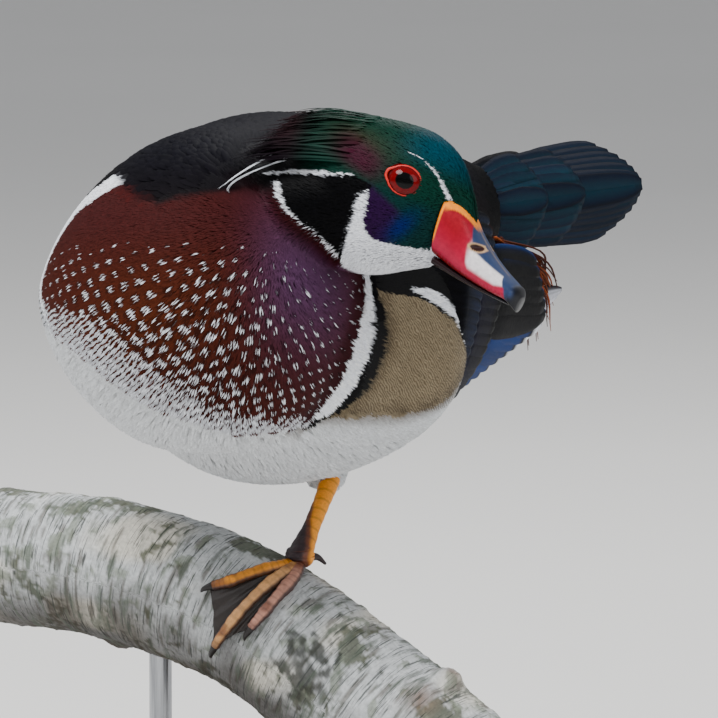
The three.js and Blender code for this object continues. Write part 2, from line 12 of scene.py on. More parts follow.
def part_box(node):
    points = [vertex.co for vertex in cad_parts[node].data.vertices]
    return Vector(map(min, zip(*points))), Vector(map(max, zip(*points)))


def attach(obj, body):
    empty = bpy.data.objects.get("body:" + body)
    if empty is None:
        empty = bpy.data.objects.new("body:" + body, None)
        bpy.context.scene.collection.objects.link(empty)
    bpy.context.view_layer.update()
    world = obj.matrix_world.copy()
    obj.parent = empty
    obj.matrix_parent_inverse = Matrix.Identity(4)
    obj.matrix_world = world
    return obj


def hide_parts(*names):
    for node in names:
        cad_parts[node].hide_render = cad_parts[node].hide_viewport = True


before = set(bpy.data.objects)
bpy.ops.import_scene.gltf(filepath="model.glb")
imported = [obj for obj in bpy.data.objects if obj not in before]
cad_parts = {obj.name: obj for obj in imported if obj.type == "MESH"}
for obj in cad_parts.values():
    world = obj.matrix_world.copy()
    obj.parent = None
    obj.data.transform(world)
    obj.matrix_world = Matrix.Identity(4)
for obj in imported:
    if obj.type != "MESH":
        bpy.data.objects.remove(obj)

MM = 0.001
rng = np.random.default_rng(41)
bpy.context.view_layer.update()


# Places: the middle of the breast, and the frames of the leaning body, the head and the tail
def axis_turn(axis, degrees):
    a = math.radians(degrees)
    c, s = math.cos(a), math.sin(a)
    i, j = {"x": (1, 2), "y": (2, 0), "z": (0, 1)}[axis]
    turn = np.eye(3)
    turn[i, i] = turn[j, j] = c
    turn[i, j], turn[j, i] = -s, s
    return turn


BREAST_HEIGHT = 226
PERCH_Y = 44
base_low, base_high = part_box("stand_base")
BREAST = np.array([
    (base_low.x + base_high.x) / 2 / MM,
    (base_low.y + base_high.y) / 2 / MM - PERCH_Y - 2,
    BREAST_HEIGHT,
])
BODY_TURN = axis_turn("y", 16)
HEAD_AT = np.array([82.1, 3, 44.9])
HEAD_TURN = axis_turn("z", 8.6) @ axis_turn("y", 24.9) @ axis_turn("x", -6.2)
TAIL_AT = np.array([6, 164, 18])
TAIL_TURN = axis_turn("z", -4) @ axis_turn("y", 82)


class Place:
    """A turned frame: points go from it to the model's frame and back."""

    def __init__(self, at, turn):
        self.at = BREAST + at
        self.turn = turn

    def out(self, points):
        return np.asarray(points, float) @ self.turn.T + self.at

    def into(self, points):
        return (np.asarray(points, float) - self.at) @ self.turn


body = Place(np.zeros(3), BODY_TURN)
head = Place(HEAD_AT, HEAD_TURN)
tail = Place(TAIL_AT, TAIL_TURN)

BREAST_RADIUS = 59
HEEL = np.array([9.9, 68, -70.5])


def towards(azimuth, elevation):
    """The way from the model to a viewer, by degrees round it and up."""
    a, e = math.radians(azimuth), math.radians(elevation)
    return np.array([math.sin(a) * math.cos(e), -math.cos(a) * math.cos(e), math.sin(e)])


# The photograph's sight line, its right and its up
AZIMUTH, ELEVATION = 31, 6
SIGHT = towards(AZIMUTH, ELEVATION)
RIGHT = np.array([math.cos(math.radians(AZIMUTH)), math.sin(math.radians(AZIMUTH)), 0])
UP = np.cross(SIGHT, RIGHT)


# Numbers and colours
def srgb(r, g, b):
    c = np.array([r, g, b], float) / 255
    return np.where(c < 0.04045, c / 12.92, ((c + 0.055) / 1.055) ** 2.4)


def step(low, high, x):
    t = np.clip((np.asarray(x, float) - low) / (high - low), 0, 1)
    return t * t * (3 - 2 * t)


def through(rows, x):
    """Values between rows of [position, value]."""
    rows = np.asarray(rows, float)
    return np.interp(x, rows[:, 0], rows[:, 1])


def smooth(rows):
    """Smooth values between rows of [position, value, value, ...]."""
    rows = np.asarray(rows, float)
    x, y = rows[:, 0], rows[:, 1:]
    slope = np.gradient(y, x, axis=0)

    def at(position):
        p = np.clip(np.asarray(position, float), x[0], x[-1])
        k = np.clip(np.searchsorted(x, p) - 1, 0, len(x) - 2)
        d = x[k + 1] - x[k]
        t = ((p - x[k]) / d)[..., None]
        d = d[..., None]
        near = y[k] * (2 * t**3 - 3 * t**2 + 1) + slope[k] * d * (t**3 - 2 * t**2 + t)
        return near + y[k + 1] * (3 * t**2 - 2 * t**3) + slope[k + 1] * d * (t**3 - t**2)

    return at


def mixed(a, b, t):
    return np.asarray(a) + (np.asarray(b) - np.asarray(a)) * t


def full_turn(count):
    """Angles that go once round."""
    return np.linspace(0, 2 * math.pi, count, endpoint=False)


def unit(v):
    return v / np.maximum(np.linalg.norm(v, axis=-1, keepdims=True), 1e-9)


def bulge(value, power):
    return np.sign(value) * np.abs(value) ** power


def noise(points, size, seed):
    """Smooth noise from -1 to 1 with features of about that size."""
    p = np.asarray(points, float) / size + 37.2 * (seed + 1)
    cell = np.floor(p).astype(np.int64)
    f = p - cell
    f = f * f * (3 - 2 * f)
    total = np.zeros(len(p))
    for corner in range(8):
        bits = np.array([corner & 1, corner >> 1 & 1, corner >> 2 & 1])
        q = cell + bits
        h = (q[:, 0] * 73856093) ^ (q[:, 1] * 19349663) ^ (q[:, 2] * 83492791) ^ (seed * 2654435761)
        h = ((h ^ (h >> 13)) * 1274126177) & 0x7FFFFFFF
        value = (h % 65536) / 32768 - 1
        total += value * np.prod(np.where(bits, f, 1 - f), axis=1)
    return total


def lay(under, over, mask):
    """A colour over others, where the mask is 1."""
    mask = np.asarray(mask)[:, None]
    return under * (1 - mask) + np.asarray(over) * mask


def near_line(points, line, widths):
    """How far inside a drawn line each point of the plane is: 1 on its middle, 0 at its edge."""
    line, widths = np.asarray(line, float), np.asarray(widths, float)
    best = np.full(len(points), -1e9)
    for a, b, wa, wb in zip(line[:-1], line[1:], widths[:-1], widths[1:]):
        t = np.clip(((points - a) @ (b - a)) / ((b - a) @ (b - a)), 0, 1)
        gap = np.linalg.norm(points - a - t[:, None] * (b - a), axis=1)
        best = np.maximum(best, 1 - gap / (wa + (wb - wa) * t))
    return best


# Palette
GREEN = srgb(2, 46, 36)
TEAL = srgb(0, 60, 76)
LORES = srgb(8, 44, 42)
OLIVE = srgb(34, 40, 16)
PLUM = srgb(56, 10, 32)
VIOLET = srgb(36, 10, 50)
BLUE = srgb(6, 24, 88)
JET = srgb(3, 3, 5)
SOOT = srgb(20, 13, 18)
SNOW = srgb(232, 235, 242)
CREAM = srgb(204, 207, 210)
CHESTNUT = srgb(62, 20, 12)
RUST = srgb(76, 32, 12)
WINE = srgb(58, 18, 18)
MAROON = srgb(44, 9, 13)
PAINTED_LILAC_SHEEN = srgb(82, 52, 84)
BRONZE = srgb(15, 10, 11)
SLATE = srgb(8, 9, 17)
TAN = srgb(144, 131, 106)
DUN = srgb(84, 70, 50)
SPECULUM = srgb(6, 58, 128)
GRAPE = srgb(20, 17, 40)
SILVER = srgb(196, 198, 208)
INK = srgb(16, 22, 38)
ORANGE = srgb(136, 66, 32)


# Markings of the head, in its frame: ahead of the eyes, and up. Both sides are alike.
EAR_LINE = [(-16.5, -6.2), (-20.7, -8), (-27.7, -11), (-37.1, -15.2), (-46, -20.6)]
EAR_WIDTH = [0.05, 0.42, 0.65, 0.6, 0.35]
BROW_LINE = [(15.5, 0.6), (12.8, 3.2), (10, 5.6), (6.2, 7.6), (2, 8.8), (-4, 9.2)]
BROW_WIDTH = [0.62, 0.56, 0.4, 0.28, 0.2, 0.1]
COLLAR = [(-39.8, -21), (-37.2, -24), (-32.3, -27.3), (-26.2, -29.3), (-20.3, -30.6), (-10.8, -34.5)]
COLLAR_WIDTH = [0.75, 1.0, 0.55, 0.2, 0.2, 0.6]
CHIN = -10.8
# The prong's rear and front edges, by depth below the eye
PRONG_REAR = [(9, -9.6), (11, -11.6), (15, -11.3), (22, -10), (31, -9.6), (40, -9)]
PRONG_FRONT = [(9, -9), (13, -7.6), (18, -6.6), (21, -4.8), (22.8, -1.4)]
THROAT_TOP = [(-8, -23.5), (-1, -22.8), (6.4, -21.4), (12, -19.8), (17, -17.8), (24, -17.2)]


def head_colour(p):
    x, z = p[:, 0], p[:, 2]
    flat = p[:, [0, 2]]
    ragged = flat + 0.42 * np.stack([noise(p, 0.9, 3), noise(p, 0.9, 4)], 1)
    c = np.tile(GREEN, (len(p), 1))
    c = lay(c, TEAL, 0.85 * step(-14, 4, x) * step(4, 13, z) * (1 - 0.5 * step(18, 26, x)))
    c = lay(c, OLIVE, 0.75 * np.exp(-(((x + 20) / 12) ** 2) - ((z - 5) / 5) ** 2))
    plum_high = (((z + 2.5 + 0.16 * x) / 5) ** 2) ** 1.5
    c = lay(c, PLUM, 0.95 * np.exp(-(((x + 18) / 10) ** 2) ** 1.5 - plum_high))
    c = lay(c, SOOT, 0.9 * step(-32, -46, x + 0.5 * z))
    c = lay(c, LORES, step(-3, -7, z) * step(-10, -4, x))
    c = lay(c, VIOLET, step(-7.5, -10.5, z + 0.3 * x) * step(-12, -8, x) * step(7, 1, x))
    c = lay(c, BLUE, 0.9 * np.exp(-(((x - 6 - 0.35 * (z + 14)) / 3.2) ** 2) - ((z + 15) / 6) ** 2))
    ear = through(EAR_LINE[::-1], x)
    prong_rear = through(PRONG_REAR, -z)
    behind = (z < ear - 0.2) & (x < prong_rear + 0.6)
    c = lay(c, JET, behind & (x < -6))
    prong_front = through(PRONG_FRONT, -z)
    prong = (ragged[:, 0] > prong_rear) & (ragged[:, 0] < prong_front) & (ragged[:, 1] < -8.6)
    throat = (ragged[:, 1] < through(THROAT_TOP, ragged[:, 0])) & (ragged[:, 0] > prong_rear)
    c = lay(c, SNOW, prong | throat)
    collar_z = through(COLLAR, x)
    below = (z < collar_z - 0.4) & (x < -9.5)
    fall = step(0, 7, collar_z - z)
    nape = step(-37, -43, x)
    c = lay(c, MAROON, below * (1 - 0.75 * nape))
    c = lay(c, JET, below * nape * (1 - fall))
    c = lay(c, SNOW, near_line(ragged, COLLAR, COLLAR_WIDTH) > 0)
    c = lay(c, SNOW, near_line(ragged, EAR_LINE, EAR_WIDTH) > 0)
    c = lay(c, SNOW, near_line(flat + 0.2 * (ragged - flat), BROW_LINE, BROW_WIDTH) > 0)
    return c


# Markings of the body, in its frame. Round the body, 0 degrees is its side and 90 its back.
# The breast's pattern is turned to the bird's left, so that the two white bars differ in place.
LEFT_BAR_FRONT = [
    (-22, 5), (-18, 3.5), (-11, 3), (-3, 5), (4, 7.5), (11, 9.7), (19, 12.5), (27, 15.5), (40, 17.5),
]
LEFT_BAR_BACK = [
    (-22, 6), (-18, 9), (-11, 11), (-3, 13.4), (4, 16.5), (11, 18.5), (19, 19.3), (27, 19), (40, 18.6),
]
LEFT_BLACK_BACK = [
    (-20, 9), (-17, 12.5), (-9, 18.6), (-2, 22.9), (5, 25.8), (12, 27.3), (20, 25.6), (27, 22.6), (40, 24),
]
RIGHT_BAR_FRONT = [
    (-12, -45), (-6, -43.5), (0, -39.6), (5, -37.6), (12, -35.5), (37, -35), (52, -39), (78, -41),
]
RIGHT_BAR_WIDTH = [(-14, 2), (0, 7), (12, 9), (40, 9), (60, 8), (72, 5), (78, 1)]
FLANK_TOP = [(22, 27), (35, 25), (46, 23), (56, 19), (70, 13), (76, 7), (90, -4)]
CRESCENT_TOP = [(40, 24), (45, 26.5), (56, 25), (65, 21.5), (73, 16), (78, 10), (84, 2)]
BELLY_EDGE = [
    (-40, -18), (-16, -19), (-2, -23.4), (9, -28.5), (23, -31.5), (36, -34.4), (47, -31), (54, -26),
]
STRIPED_EDGE = [
    (-40, -10), (-30, -8), (-17, -5), (-3, -4.6), (7.5, -10.4), (24, -16.5), (32, -25), (41, -25.5),
]
SIDE_BELLY_EDGE = [(0, -28), (12, -26), (45, -26), (60, -22.5), (80, -16), (110, -6), (140, 6)]


def around(b):
    return np.degrees(np.arctan2(b[:, 2] + 8, np.abs(b[:, 0]) + 1e-6))


def bars(b):
    """Front and back of the white bar, and the back of the black one, at each point's height."""
    turn = around(b)
    left = b[:, 0] > 0
    front = np.where(left, through(LEFT_BAR_FRONT, turn), through(RIGHT_BAR_FRONT, turn))
    right_back = through(RIGHT_BAR_FRONT, turn) + through(RIGHT_BAR_WIDTH, turn)
    back = np.where(left, through(LEFT_BAR_BACK, turn), right_back)
    black = np.where(left, through(LEFT_BLACK_BACK, turn), right_back + 7)
    return turn, front, back, black


def breast_share(b):
    """1 on the chestnut breast, 0 off it."""
    front = bars(b)[1]
    return (b[:, 1] < front) * (1 - mantle_share(b)) * (b[:, 2] > belly_height(b))


def mantle_share(b):
    edge = 38.5 + 0.58 * np.maximum(0, b[:, 0] + 1) + 1.6 * noise(b, 4, 9)
    return step(-1.5, 2.5, b[:, 2] - edge)


def belly_height(b):
    return through(BELLY_EDGE, b[:, 0])


def flank_share(b):
    """1 on the tan flank, with its fine dark lines, and 0 off it."""
    turn, front, _, black = bars(b)
    y = b[:, 1]
    return (y > np.maximum(front, black + 0.8 * noise(b, 1.1, 5))) & (turn < through(FLANK_TOP, y))


def body_colour(b, world):
    v = (world - BREAST) @ UP
    h = (world - BREAST) @ RIGHT
    turn, front, back, black = bars(b)
    turn = turn + 1.5 * noise(b, 2.2, 12)
    y, z = b[:, 1], b[:, 2]
    rag = 0.8 * noise(b, 1.1, 5)
    c = np.tile(CHESTNUT, (len(b), 1))
    c = lay(c, RUST, 0.85 * np.exp(-(((h + 20) / 26) ** 2) - ((v + 8) / 20) ** 2))
    c = lay(c, WINE, 0.9 * step(8, 30, v) * step(45, 10, h))
    # Painted sheen: a lilac highlight over the breast's upper right, placed as the camera sees it
    c = lay(c, PAINTED_LILAC_SHEEN, 0.9 * np.exp(-(((h - 34) / 17) ** 2) ** 1.3 - ((v - 14 + 0.2 * h) / 24) ** 2))
    c = lay(c, MAROON, 0.9 * step(-11, -3, y - front) * (b[:, 0] > 0))
    c = lay(c, MAROON, 0.5 * step(-10, -40, v) * step(10, 50, h))
    behind = y > front
    flank_top = through(FLANK_TOP, y)
    flank = flank_share(b)
    c = lay(c, JET, behind)
    c = lay(c, TAN, flank)
    grain = 0.5 + 0.5 * noise(b, 5, 21)
    c = lay(c, DUN, flank * (0.25 * grain + 0.5 * step(9, 0, y - black)))
    c = lay(c, SNOW, (y > front + rag) & (y < back + rag) & (turn < 79) & (turn > -19))
    crescent = through(CRESCENT_TOP, y)
    clean_turn = around(b) + 0.4 * noise(b, 1.6, 12)
    c = lay(c, SNOW, (clean_turn > flank_top + 1.4) & (clean_turn < crescent) & (y > 38) & (y < 84))
    mantle = mantle_share(b) * (y < 30) + (y >= 30) * step(40, 55, turn)
    c = lay(c, BRONZE, mantle)
    c = lay(c, SLATE, 0.8 * mantle * step(20, 55, v))
    rump = step(120, 134, y) * (turn < 52) * (turn > -22)
    c = lay(c, WINE * 0.8, rump)
    c = lay(c, JET, step(150, 168, y + 0.2 * z) * (turn > 30))
    low = belly_height(b) + 1.6 * noise(b, 3, 14)
    side_low = through(SIDE_BELLY_EDGE, y)
    belly = np.where(y < 8, z < low, z < side_low + 1.5 * noise(b, 2.5, 15))
    streaks = 0.5 + 0.5 * noise(b * [0.35, 1, 1], 1.2, 22)
    c = lay(c, DUN * 0.7, flank * step(9, 1, z - side_low) * streaks)
    c = lay(c, CREAM, belly)
    edge = np.where(y < 8, z - low, z - side_low)
    c = lay(c, DUN, 0.6 * belly * step(-6, 0, edge) * (y > 0))
    c = lay(c, SOOT, belly * step(128, 150, y))
    return c


SPOT_ROW = np.array([-0.75, -0.66])
SPOT_FAN = np.array([22, 47])
SPOT_SPACING = 5.0
STROKE = 0.95
SPOT_BY_HEIGHT = [(-50, 5.4), (-35, 5), (-10, 4.4), (0, 3.7), (7, 2.9), (14, 2), (19, 1.1), (23, 0)]
SPOT_BY_SIDE = [
    (-60, 0.4), (-50, 0.6), (-38, 1), (5, 1), (18, 0.75), (30, 0.55), (45, 0.42), (55, 0.36), (62, 0),
]


def spots(world):
    """White half moons of the breast, each a fan of short strokes that lie away from the neck."""
    d = world - BREAST
    flat = np.stack([d @ RIGHT, d @ UP], 1)
    ray = unit(d)
    round_it = BREAST_RADIUS * np.stack(
        [np.arctan2(ray @ RIGHT, ray @ SIGHT), np.arcsin(np.clip(ray @ UP, -1, 1))], 1
    )
    column_way = np.array([-SPOT_ROW[1], SPOT_ROW[0]])
    a = round_it @ SPOT_ROW / SPOT_SPACING
    c = round_it @ column_way / (SPOT_SPACING * 1.1)
    row = np.floor(a)
    c = c + 0.5 * (row % 2)
    column = np.floor(c)
    key = np.stack([row, column, 0 * row], 1) * 11.3
    shift = np.stack([noise(key, 1.7, 31), noise(key, 1.7, 32)], 1) * 0.6
    off = ((a - row - 0.5) * SPOT_SPACING)[:, None] * SPOT_ROW
    off = off + ((c - column - 0.5) * SPOT_SPACING * 1.1)[:, None] * column_way + shift
    away = unit(flat - SPOT_FAN)
    size = through(SPOT_BY_HEIGHT, flat[:, 1]) * through(SPOT_BY_SIDE, flat[:, 0])
    size = size * (1 + 0.22 * noise(key, 1.7, 33))
    along = (off * away).sum(1) + 0.3 * size
    across = off[:, 0] * away[:, 1] - off[:, 1] * away[:, 0]
    round_edge = np.sqrt(np.clip(1 - (2 * across / np.maximum(size, 0.01)) ** 2, 0, 1))
    depth = (along - 0.35 * size * (1 - round_edge)) / np.maximum(0.62 * size * round_edge, 0.01)
    gaps = np.cos(2 * math.pi * across / STROKE + 3 * noise(key, 1.7, 34))
    lit = (depth > 0) & (depth < 1) & (gaps > -0.5 + 1.3 * depth) & (size > 0.9)
    shade = (depth >= -0.4) & (depth < 1.5) & ~lit
    return lit, shade & (size > 1)


def striped(b, world):
    """Close white and brown strokes low on the breast."""
    top = through(STRIPED_EDGE, b[:, 0]) + 2.5 * noise(b, 2.5, 41)
    low = belly_height(b)
    down = np.clip((top - b[:, 2]) / np.maximum(top - low, 2), 0, 1)
    d = world - BREAST
    stroke = np.sin(2 * math.pi * (d @ RIGHT * 0.66 - d @ UP * 0.75) / 1.6 + 2 * noise(world, 3, 42))
    return (down > 0) & (stroke > 0.55 - 1.5 * down)


def coat_colour(world):
    """Colour of the coat at points of the model."""
    b = body.into(world)
    p = head.into(world)
    c = body_colour(b, world)
    breast = (breast_share(b) > 0.5) | ((b[:, 1] < 0) & (b[:, 2] < 0) & (b[:, 2] > belly_height(b)))
    on_breast = breast & (mantle_share(b) < 0.5)
    lit, shade = spots(world)
    c = lay(c, c * 0.5, shade & on_breast)
    c = lay(c, SNOW * 0.62, striped(b, world) & on_breast)
    c = lay(c, SNOW * 0.88, lit & on_breast)
    near_head = (np.abs(p[:, 1]) < 27) & (p[:, 0] > -62) & (p[:, 0] < 40) & (p[:, 2] > -50)
    collar_z = through(COLLAR, p[:, 0])
    chin = p[:, 0] > CHIN
    depth = np.where(chin, -37, collar_z) - p[:, 2]
    share = near_head * np.where(chin, step(1, 0, depth), step(10, 2, depth)) * step(-58, -50, p[:, 0])
    return lay(c, head_colour(p), share)


# Forms: the same curves as the solids
TORSO = smooth([
    [0, 63, -54, 56, -9], [30, 65, -67, 61, -12], [60, 62, -72, 61, -14], [85, 58, -65, 56, -11],
    [110, 52, -48, 46, -4], [135, 46, -28, 34, 4], [155, 41, -11, 25, 9], [176, 35, 4, 15, 15],
])
HEAD = smooth([
    [-46, -1, -26, 8, -12], [-38, 6, -36, 12.5, -15], [-26, 12, -42, 15.5, -14], [-12, 16.3, -40, 16, -12],
    [2, 17.4, -35, 14.6, -9], [12, 13.5, -28, 11.2, -8], [18, 8, -24, 7.2, -9], [24, 1, -21, 4.6, -11],
    [29, -7.4, -17, 1.6, -12],
])
UPPER_BILL = smooth([
    [12, 3, -18.6, 9.8], [18, 1.5, -19.2, 9.4], [24, -1.5, -20.2, 9], [29, -5.6, -21, 8.7],
    [36, -10.6, -22, 8.4], [43, -14.8, -23, 8.2], [48, -17.4, -23.8, 7.8], [51.5, -19, -25.6, 6.4],
    [53.5, -21.4, -27, 3.4],
])
LOWER_BILL = smooth([
    [16, -19.4, -23.2, 6.2], [24, -20.6, -23.6, 5.4], [36, -22.4, -24.5, 4.8], [45, -23.7, -25.4, 4.4],
    [49.5, -24.9, -26, 3],
])
WING = smooth([
    [30, 66, -72, 62, -14], [60, 65, -74, 61, -14], [85, 61, -68, 58, -13], [110, 57, -60, 53, -11],
    [140, 51, -52, 47, -9], [170, 45, -45, 42, -8], [200, 40, -40, 37, -7],
])
COAT = 1.5
HEAD_COAT = 0.9


def torso_point(y, angle, grow=0.0):
    ahead = np.clip(-y / BREAST_RADIUS, 0, 1)
    cap = np.sqrt(np.maximum(0, 1 - ahead**2))
    top, under, half, widest = np.moveaxis(TORSO(np.maximum(y, 0)), -1, 0)
    up = np.sin(angle) > 0
    rounding = np.where(up, 1.1, 1.14)
    tilt = np.arcsin(np.clip(np.sin(angle), -1, 1))
    out = np.exp(-(((y - 70) / 28) ** 2) - ((tilt + 0.28) / 0.75) ** 2)
    x = (half * cap + 8 * out) * bulge(np.cos(angle), rounding) + grow * np.cos(angle)
    height = np.where(up, top - widest, widest - under)
    z = widest + 9 * ahead**2 + height * cap * bulge(np.sin(angle), rounding) + grow * np.sin(angle)
    return np.stack(np.broadcast_arrays(x, y, z), -1)


def head_point(x, angle, grow=0.0):
    top, under, half, widest = np.moveaxis(HEAD(x), -1, 0)
    height = np.where(np.sin(angle) > 0, top - widest, widest - under)
    y = (half + grow) * np.cos(angle)
    return np.stack(np.broadcast_arrays(x, y, widest + (height + grow) * np.sin(angle)), -1)


def wing_point(wing, y, z, lift):
    side, high, tuck = wing
    top, under, half, widest = np.moveaxis(WING(y), -1, 0)
    up = z > widest
    rounding = np.where(up, 1.1, 1.14)
    share = np.minimum(0.97, np.abs(z - widest) / np.where(up, top - widest, widest - under))
    behind = np.maximum(0, (y - 60) / 130)
    x = half * (1 - share ** (2 / rounding)) ** (rounding / 2) - tuck * behind**2
    return np.stack([side * (x + lift), y, z + high * behind], -1)


def spline(points):
    """A smooth curve through points, from 0 to 1 along its length."""
    p = np.asarray(points, float)
    run = np.concatenate([[0], np.cumsum(np.linalg.norm(np.diff(p, axis=0), axis=1))])
    return smooth(np.column_stack([run / run[-1], p]))


# Meshes
def rings(rows, sides):
    """Quads between rows of points that go round, with a cap at each end."""
    r, s = [g.ravel() for g in np.meshgrid(np.arange(rows - 1), np.arange(sides), indexing="ij")]
    n = (s + 1) % sides
    walls = np.stack([r * sides + s, r * sides + n, (r + 1) * sides + n, (r + 1) * sides + s], 1)
    first = np.arange(sides)[::-1][None]
    return [walls, first, (rows - 1) * sides + np.arange(sides)[None]]


def linked(name, data):
    thing = bpy.data.objects.new(name, data)
    bpy.context.scene.collection.objects.link(thing)
    return thing


def paint(mesh, colours, lined=1):
    """Sets the mesh's colours; the fourth channel asks for the flank's fine lines."""
    layer = mesh.color_attributes.get("Tint")
    if layer is None:
        layer = mesh.color_attributes.new(name="Tint", type="FLOAT_COLOR", domain="POINT")
    rgba = np.ones((len(colours), 4), np.float32)
    rgba[:, :3] = np.clip(colours, 0.001, 0.95)
    rgba[:, 3] = lined
    layer.data.foreach_set("color", rgba.ravel())


def finished(thing, replaces):
    """The object as a piece of the frame's one body."""
    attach(thing, "root")
    if replaces:
        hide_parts(*replaces)
    return thing


class Shape:
    """Points in millimetres, their faces, colours and places on the maps."""

    def __init__(self):
        self.points, self.faces, self.tints, self.maps = [], [], [], {}
        self.count, self.lined = 0, 0

    def add(self, points, faces, tints, **maps):
        points = np.asarray(points, float).reshape(-1, 3)
        self.points.append(points)
        self.faces += [f + self.count for f in faces]
        tints = np.asarray(tints, float)
        self.tints.append(np.tile(tints, (len(points), 1)) if tints.ndim == 1 else tints.reshape(-1, 3))
        for name, values in maps.items():
            self.maps.setdefault(name, []).append(np.asarray(values, float).reshape(-1, 2))
        self.count += len(points)
        return self

    def thing(self, name, material):
        points = np.concatenate(self.points)
        loops = np.concatenate([f.ravel() for f in self.faces]).astype(np.int32)
        sizes = np.concatenate([np.full(len(f), f.shape[1]) for f in self.faces])
        mesh = bpy.data.meshes.new(name)
        mesh.vertices.add(len(points))
        mesh.vertices.foreach_set("co", (points * MM).astype(np.float32).ravel())
        mesh.loops.add(len(loops))
        mesh.loops.foreach_set("vertex_index", loops)
        mesh.polygons.add(len(sizes))
        starts = np.concatenate([[0], np.cumsum(sizes)[:-1]])
        mesh.polygons.foreach_set("loop_start", starts.astype(np.int32))
        mesh.update(calc_edges=True)
        mesh.polygons.foreach_set("use_smooth", np.ones(len(sizes), bool))
        paint(mesh, np.concatenate(self.tints), self.lined)
        for map_name, values in self.maps.items():
            layer = mesh.uv_layers.new(name=map_name)
            layer.data.foreach_set("uv", np.concatenate(values)[loops].astype(np.float32).ravel())
        mesh.update()
        mesh.materials.append(material)
        return linked(name, mesh)

    def piece(self, name, slot, material, replaces=()):
        return finished(self.thing(name, material), replaces)


def lines_round(points, sideways, upward, half, high, sides):
    """Rings of points round a line: half wide, high tall."""
    turn = np.arange(sides) / sides * 2 * math.pi
    across = np.asarray(half)[:, None, None] * np.cos(turn)[None, :, None] * sideways[:, None]
    along = np.asarray(high)[:, None, None] * np.sin(-turn)[None, :, None] * upward[:, None]
    return points[:, None] + across + along


def tube(path, radius, sides, rows, flat=1.0):
    """Points of a round tube along a curve: radius is a function from 0 to 1."""
    t = np.linspace(0, 1, rows)
    p = path(t)
    ahead = unit(np.gradient(p, axis=0))
    sideways = unit(np.cross(ahead, [0, 0, 1.0]))
    upward = np.cross(sideways, ahead)
    r = np.array([radius(v) for v in t])
    return lines_round(p, sideways, upward, r, r * flat, sides), rings(rows, sides)


# Materials
BARB_SPACING = 0.75


def node(material, kind, out, sockets=(), **fields):
    """An output of a new node; its sockets take values or other nodes' outputs."""
    made = material.node_tree.nodes.new("ShaderNode" + kind)
    for field, value in fields.items():
        setattr(made, field, value)
    feed(material, made, dict(sockets))
    return made.outputs[out]


def feed(material, into, sockets):
    for socket, value in sockets.items():
        if isinstance(value, bpy.types.NodeSocket):
            material.node_tree.links.new(value, into.inputs[socket])
        else:
            into.inputs[socket].default_value = value


def surface_of(material):
    return material.node_tree.nodes["Principled BSDF"]


def fed_by(material, socket):
    """The output that already feeds one of the surface's sockets."""
    return surface_of(material).inputs[socket].links[0].from_socket


def blank(name):
    material = bpy.data.materials.new(name)
    material.use_nodes = True
    return material


def surfaced(material, colour, grain, roughness, spread, bump, depth, settings):
    """The material, with its colour, and its roughness and relief from its grain."""
    rough = node(material, "MapRange", "Result", {
        "To Min": roughness * (1 - spread), "To Max": roughness * (1 + spread), "Value": grain,
    })
    relief = node(material, "Bump", "Normal", {"Strength": bump, "Distance": depth, "Height": grain})
    sockets = {"Base Color": colour, "Roughness": rough, "Normal": relief}
    sockets.update({socket.replace("_", " "): value for socket, value in settings.items()})
    feed(material, surface_of(material), sockets)
    return material


def shader(name, roughness, bump_scale, bump, vary=0.12, **settings):
    """A finish that takes its colour from the piece and its grain from noise."""
    material = blank(name)
    place = node(material, "TexCoord", "Object")
    grain = node(material, "TexNoise", "Fac", {"Scale": bump_scale, "Detail": 4, "Vector": place})
    tone = node(material, "MapRange", "Result", {
        "From Min": 0.3, "From Max": 0.7, "To Min": 1 - vary, "To Max": 1 + vary, "Value": grain,
    })
    tint = node(material, "VertexColor", "Color", layer_name="Tint")
    sockets = {"Factor": 1, "A": tint, "B": tone}
    colour = node(material, "Mix", "Result", sockets, data_type="RGBA", blend_type="MULTIPLY")
    return surfaced(material, colour, grain, roughness, 0.15, bump, 0.0004, settings)


def covered(material, share, colour, **fields):
    """Mixes one more colour over the material's own."""
    sockets = {"Factor": share, "A": fed_by(material, "Base Color"), "B": (*colour, 1)}
    mix = node(material, "Mix", "Result", sockets, data_type="RGBA", **fields)
    feed(material, surface_of(material), {"Base Color": mix})


def barbed(name, roughness, **settings):
    """A feather finish with barbs that run out and forward from the shaft, from the map in millimetres."""
    material = shader(name, roughness, 600, 0.12, **settings)
    where = node(material, "UVMap", "UV", uv_map="Vane")
    across = node(material, "SeparateXYZ", "X", {"Vector": where})

    def worked(operation, *values):
        return node(material, "Math", "Value", dict(enumerate(values)), operation=operation)

    slant = worked("SUBTRACT", across.node.outputs["Y"], worked("MULTIPLY", worked("ABSOLUTE", across), 1.1))
    wave = worked("SINE", worked("MULTIPLY", slant, 2 * math.pi / BARB_SPACING))
    under = fed_by(material, "Normal")
    relief = {"Strength": 0.35, "Distance": 0.00025, "Height": wave, "Normal": under}
    feed(material, surface_of(material), {"Normal": node(material, "Bump", "Normal", relief)})
    return material


def fine_lines(material):
    """Close wavy dark lines across the lie of the flank, where the colour's fourth channel asks for them."""
    place = node(material, "TexCoord", "Object")
    lines = node(
        material, "TexWave", "Fac",
        {"Scale": 400, "Distortion": 8, "Detail": 2, "Detail Scale": 0.8, "Vector": place},
        bands_direction="DIAGONAL",
    )
    asked = node(material, "VertexColor", "Alpha", layer_name="Tint")
    share = node(material, "Math", "Value", {0: lines, 1: asked}, operation="MULTIPLY")
    covered(material, share, (0.45, 0.4, 0.35), blend_type="MULTIPLY")


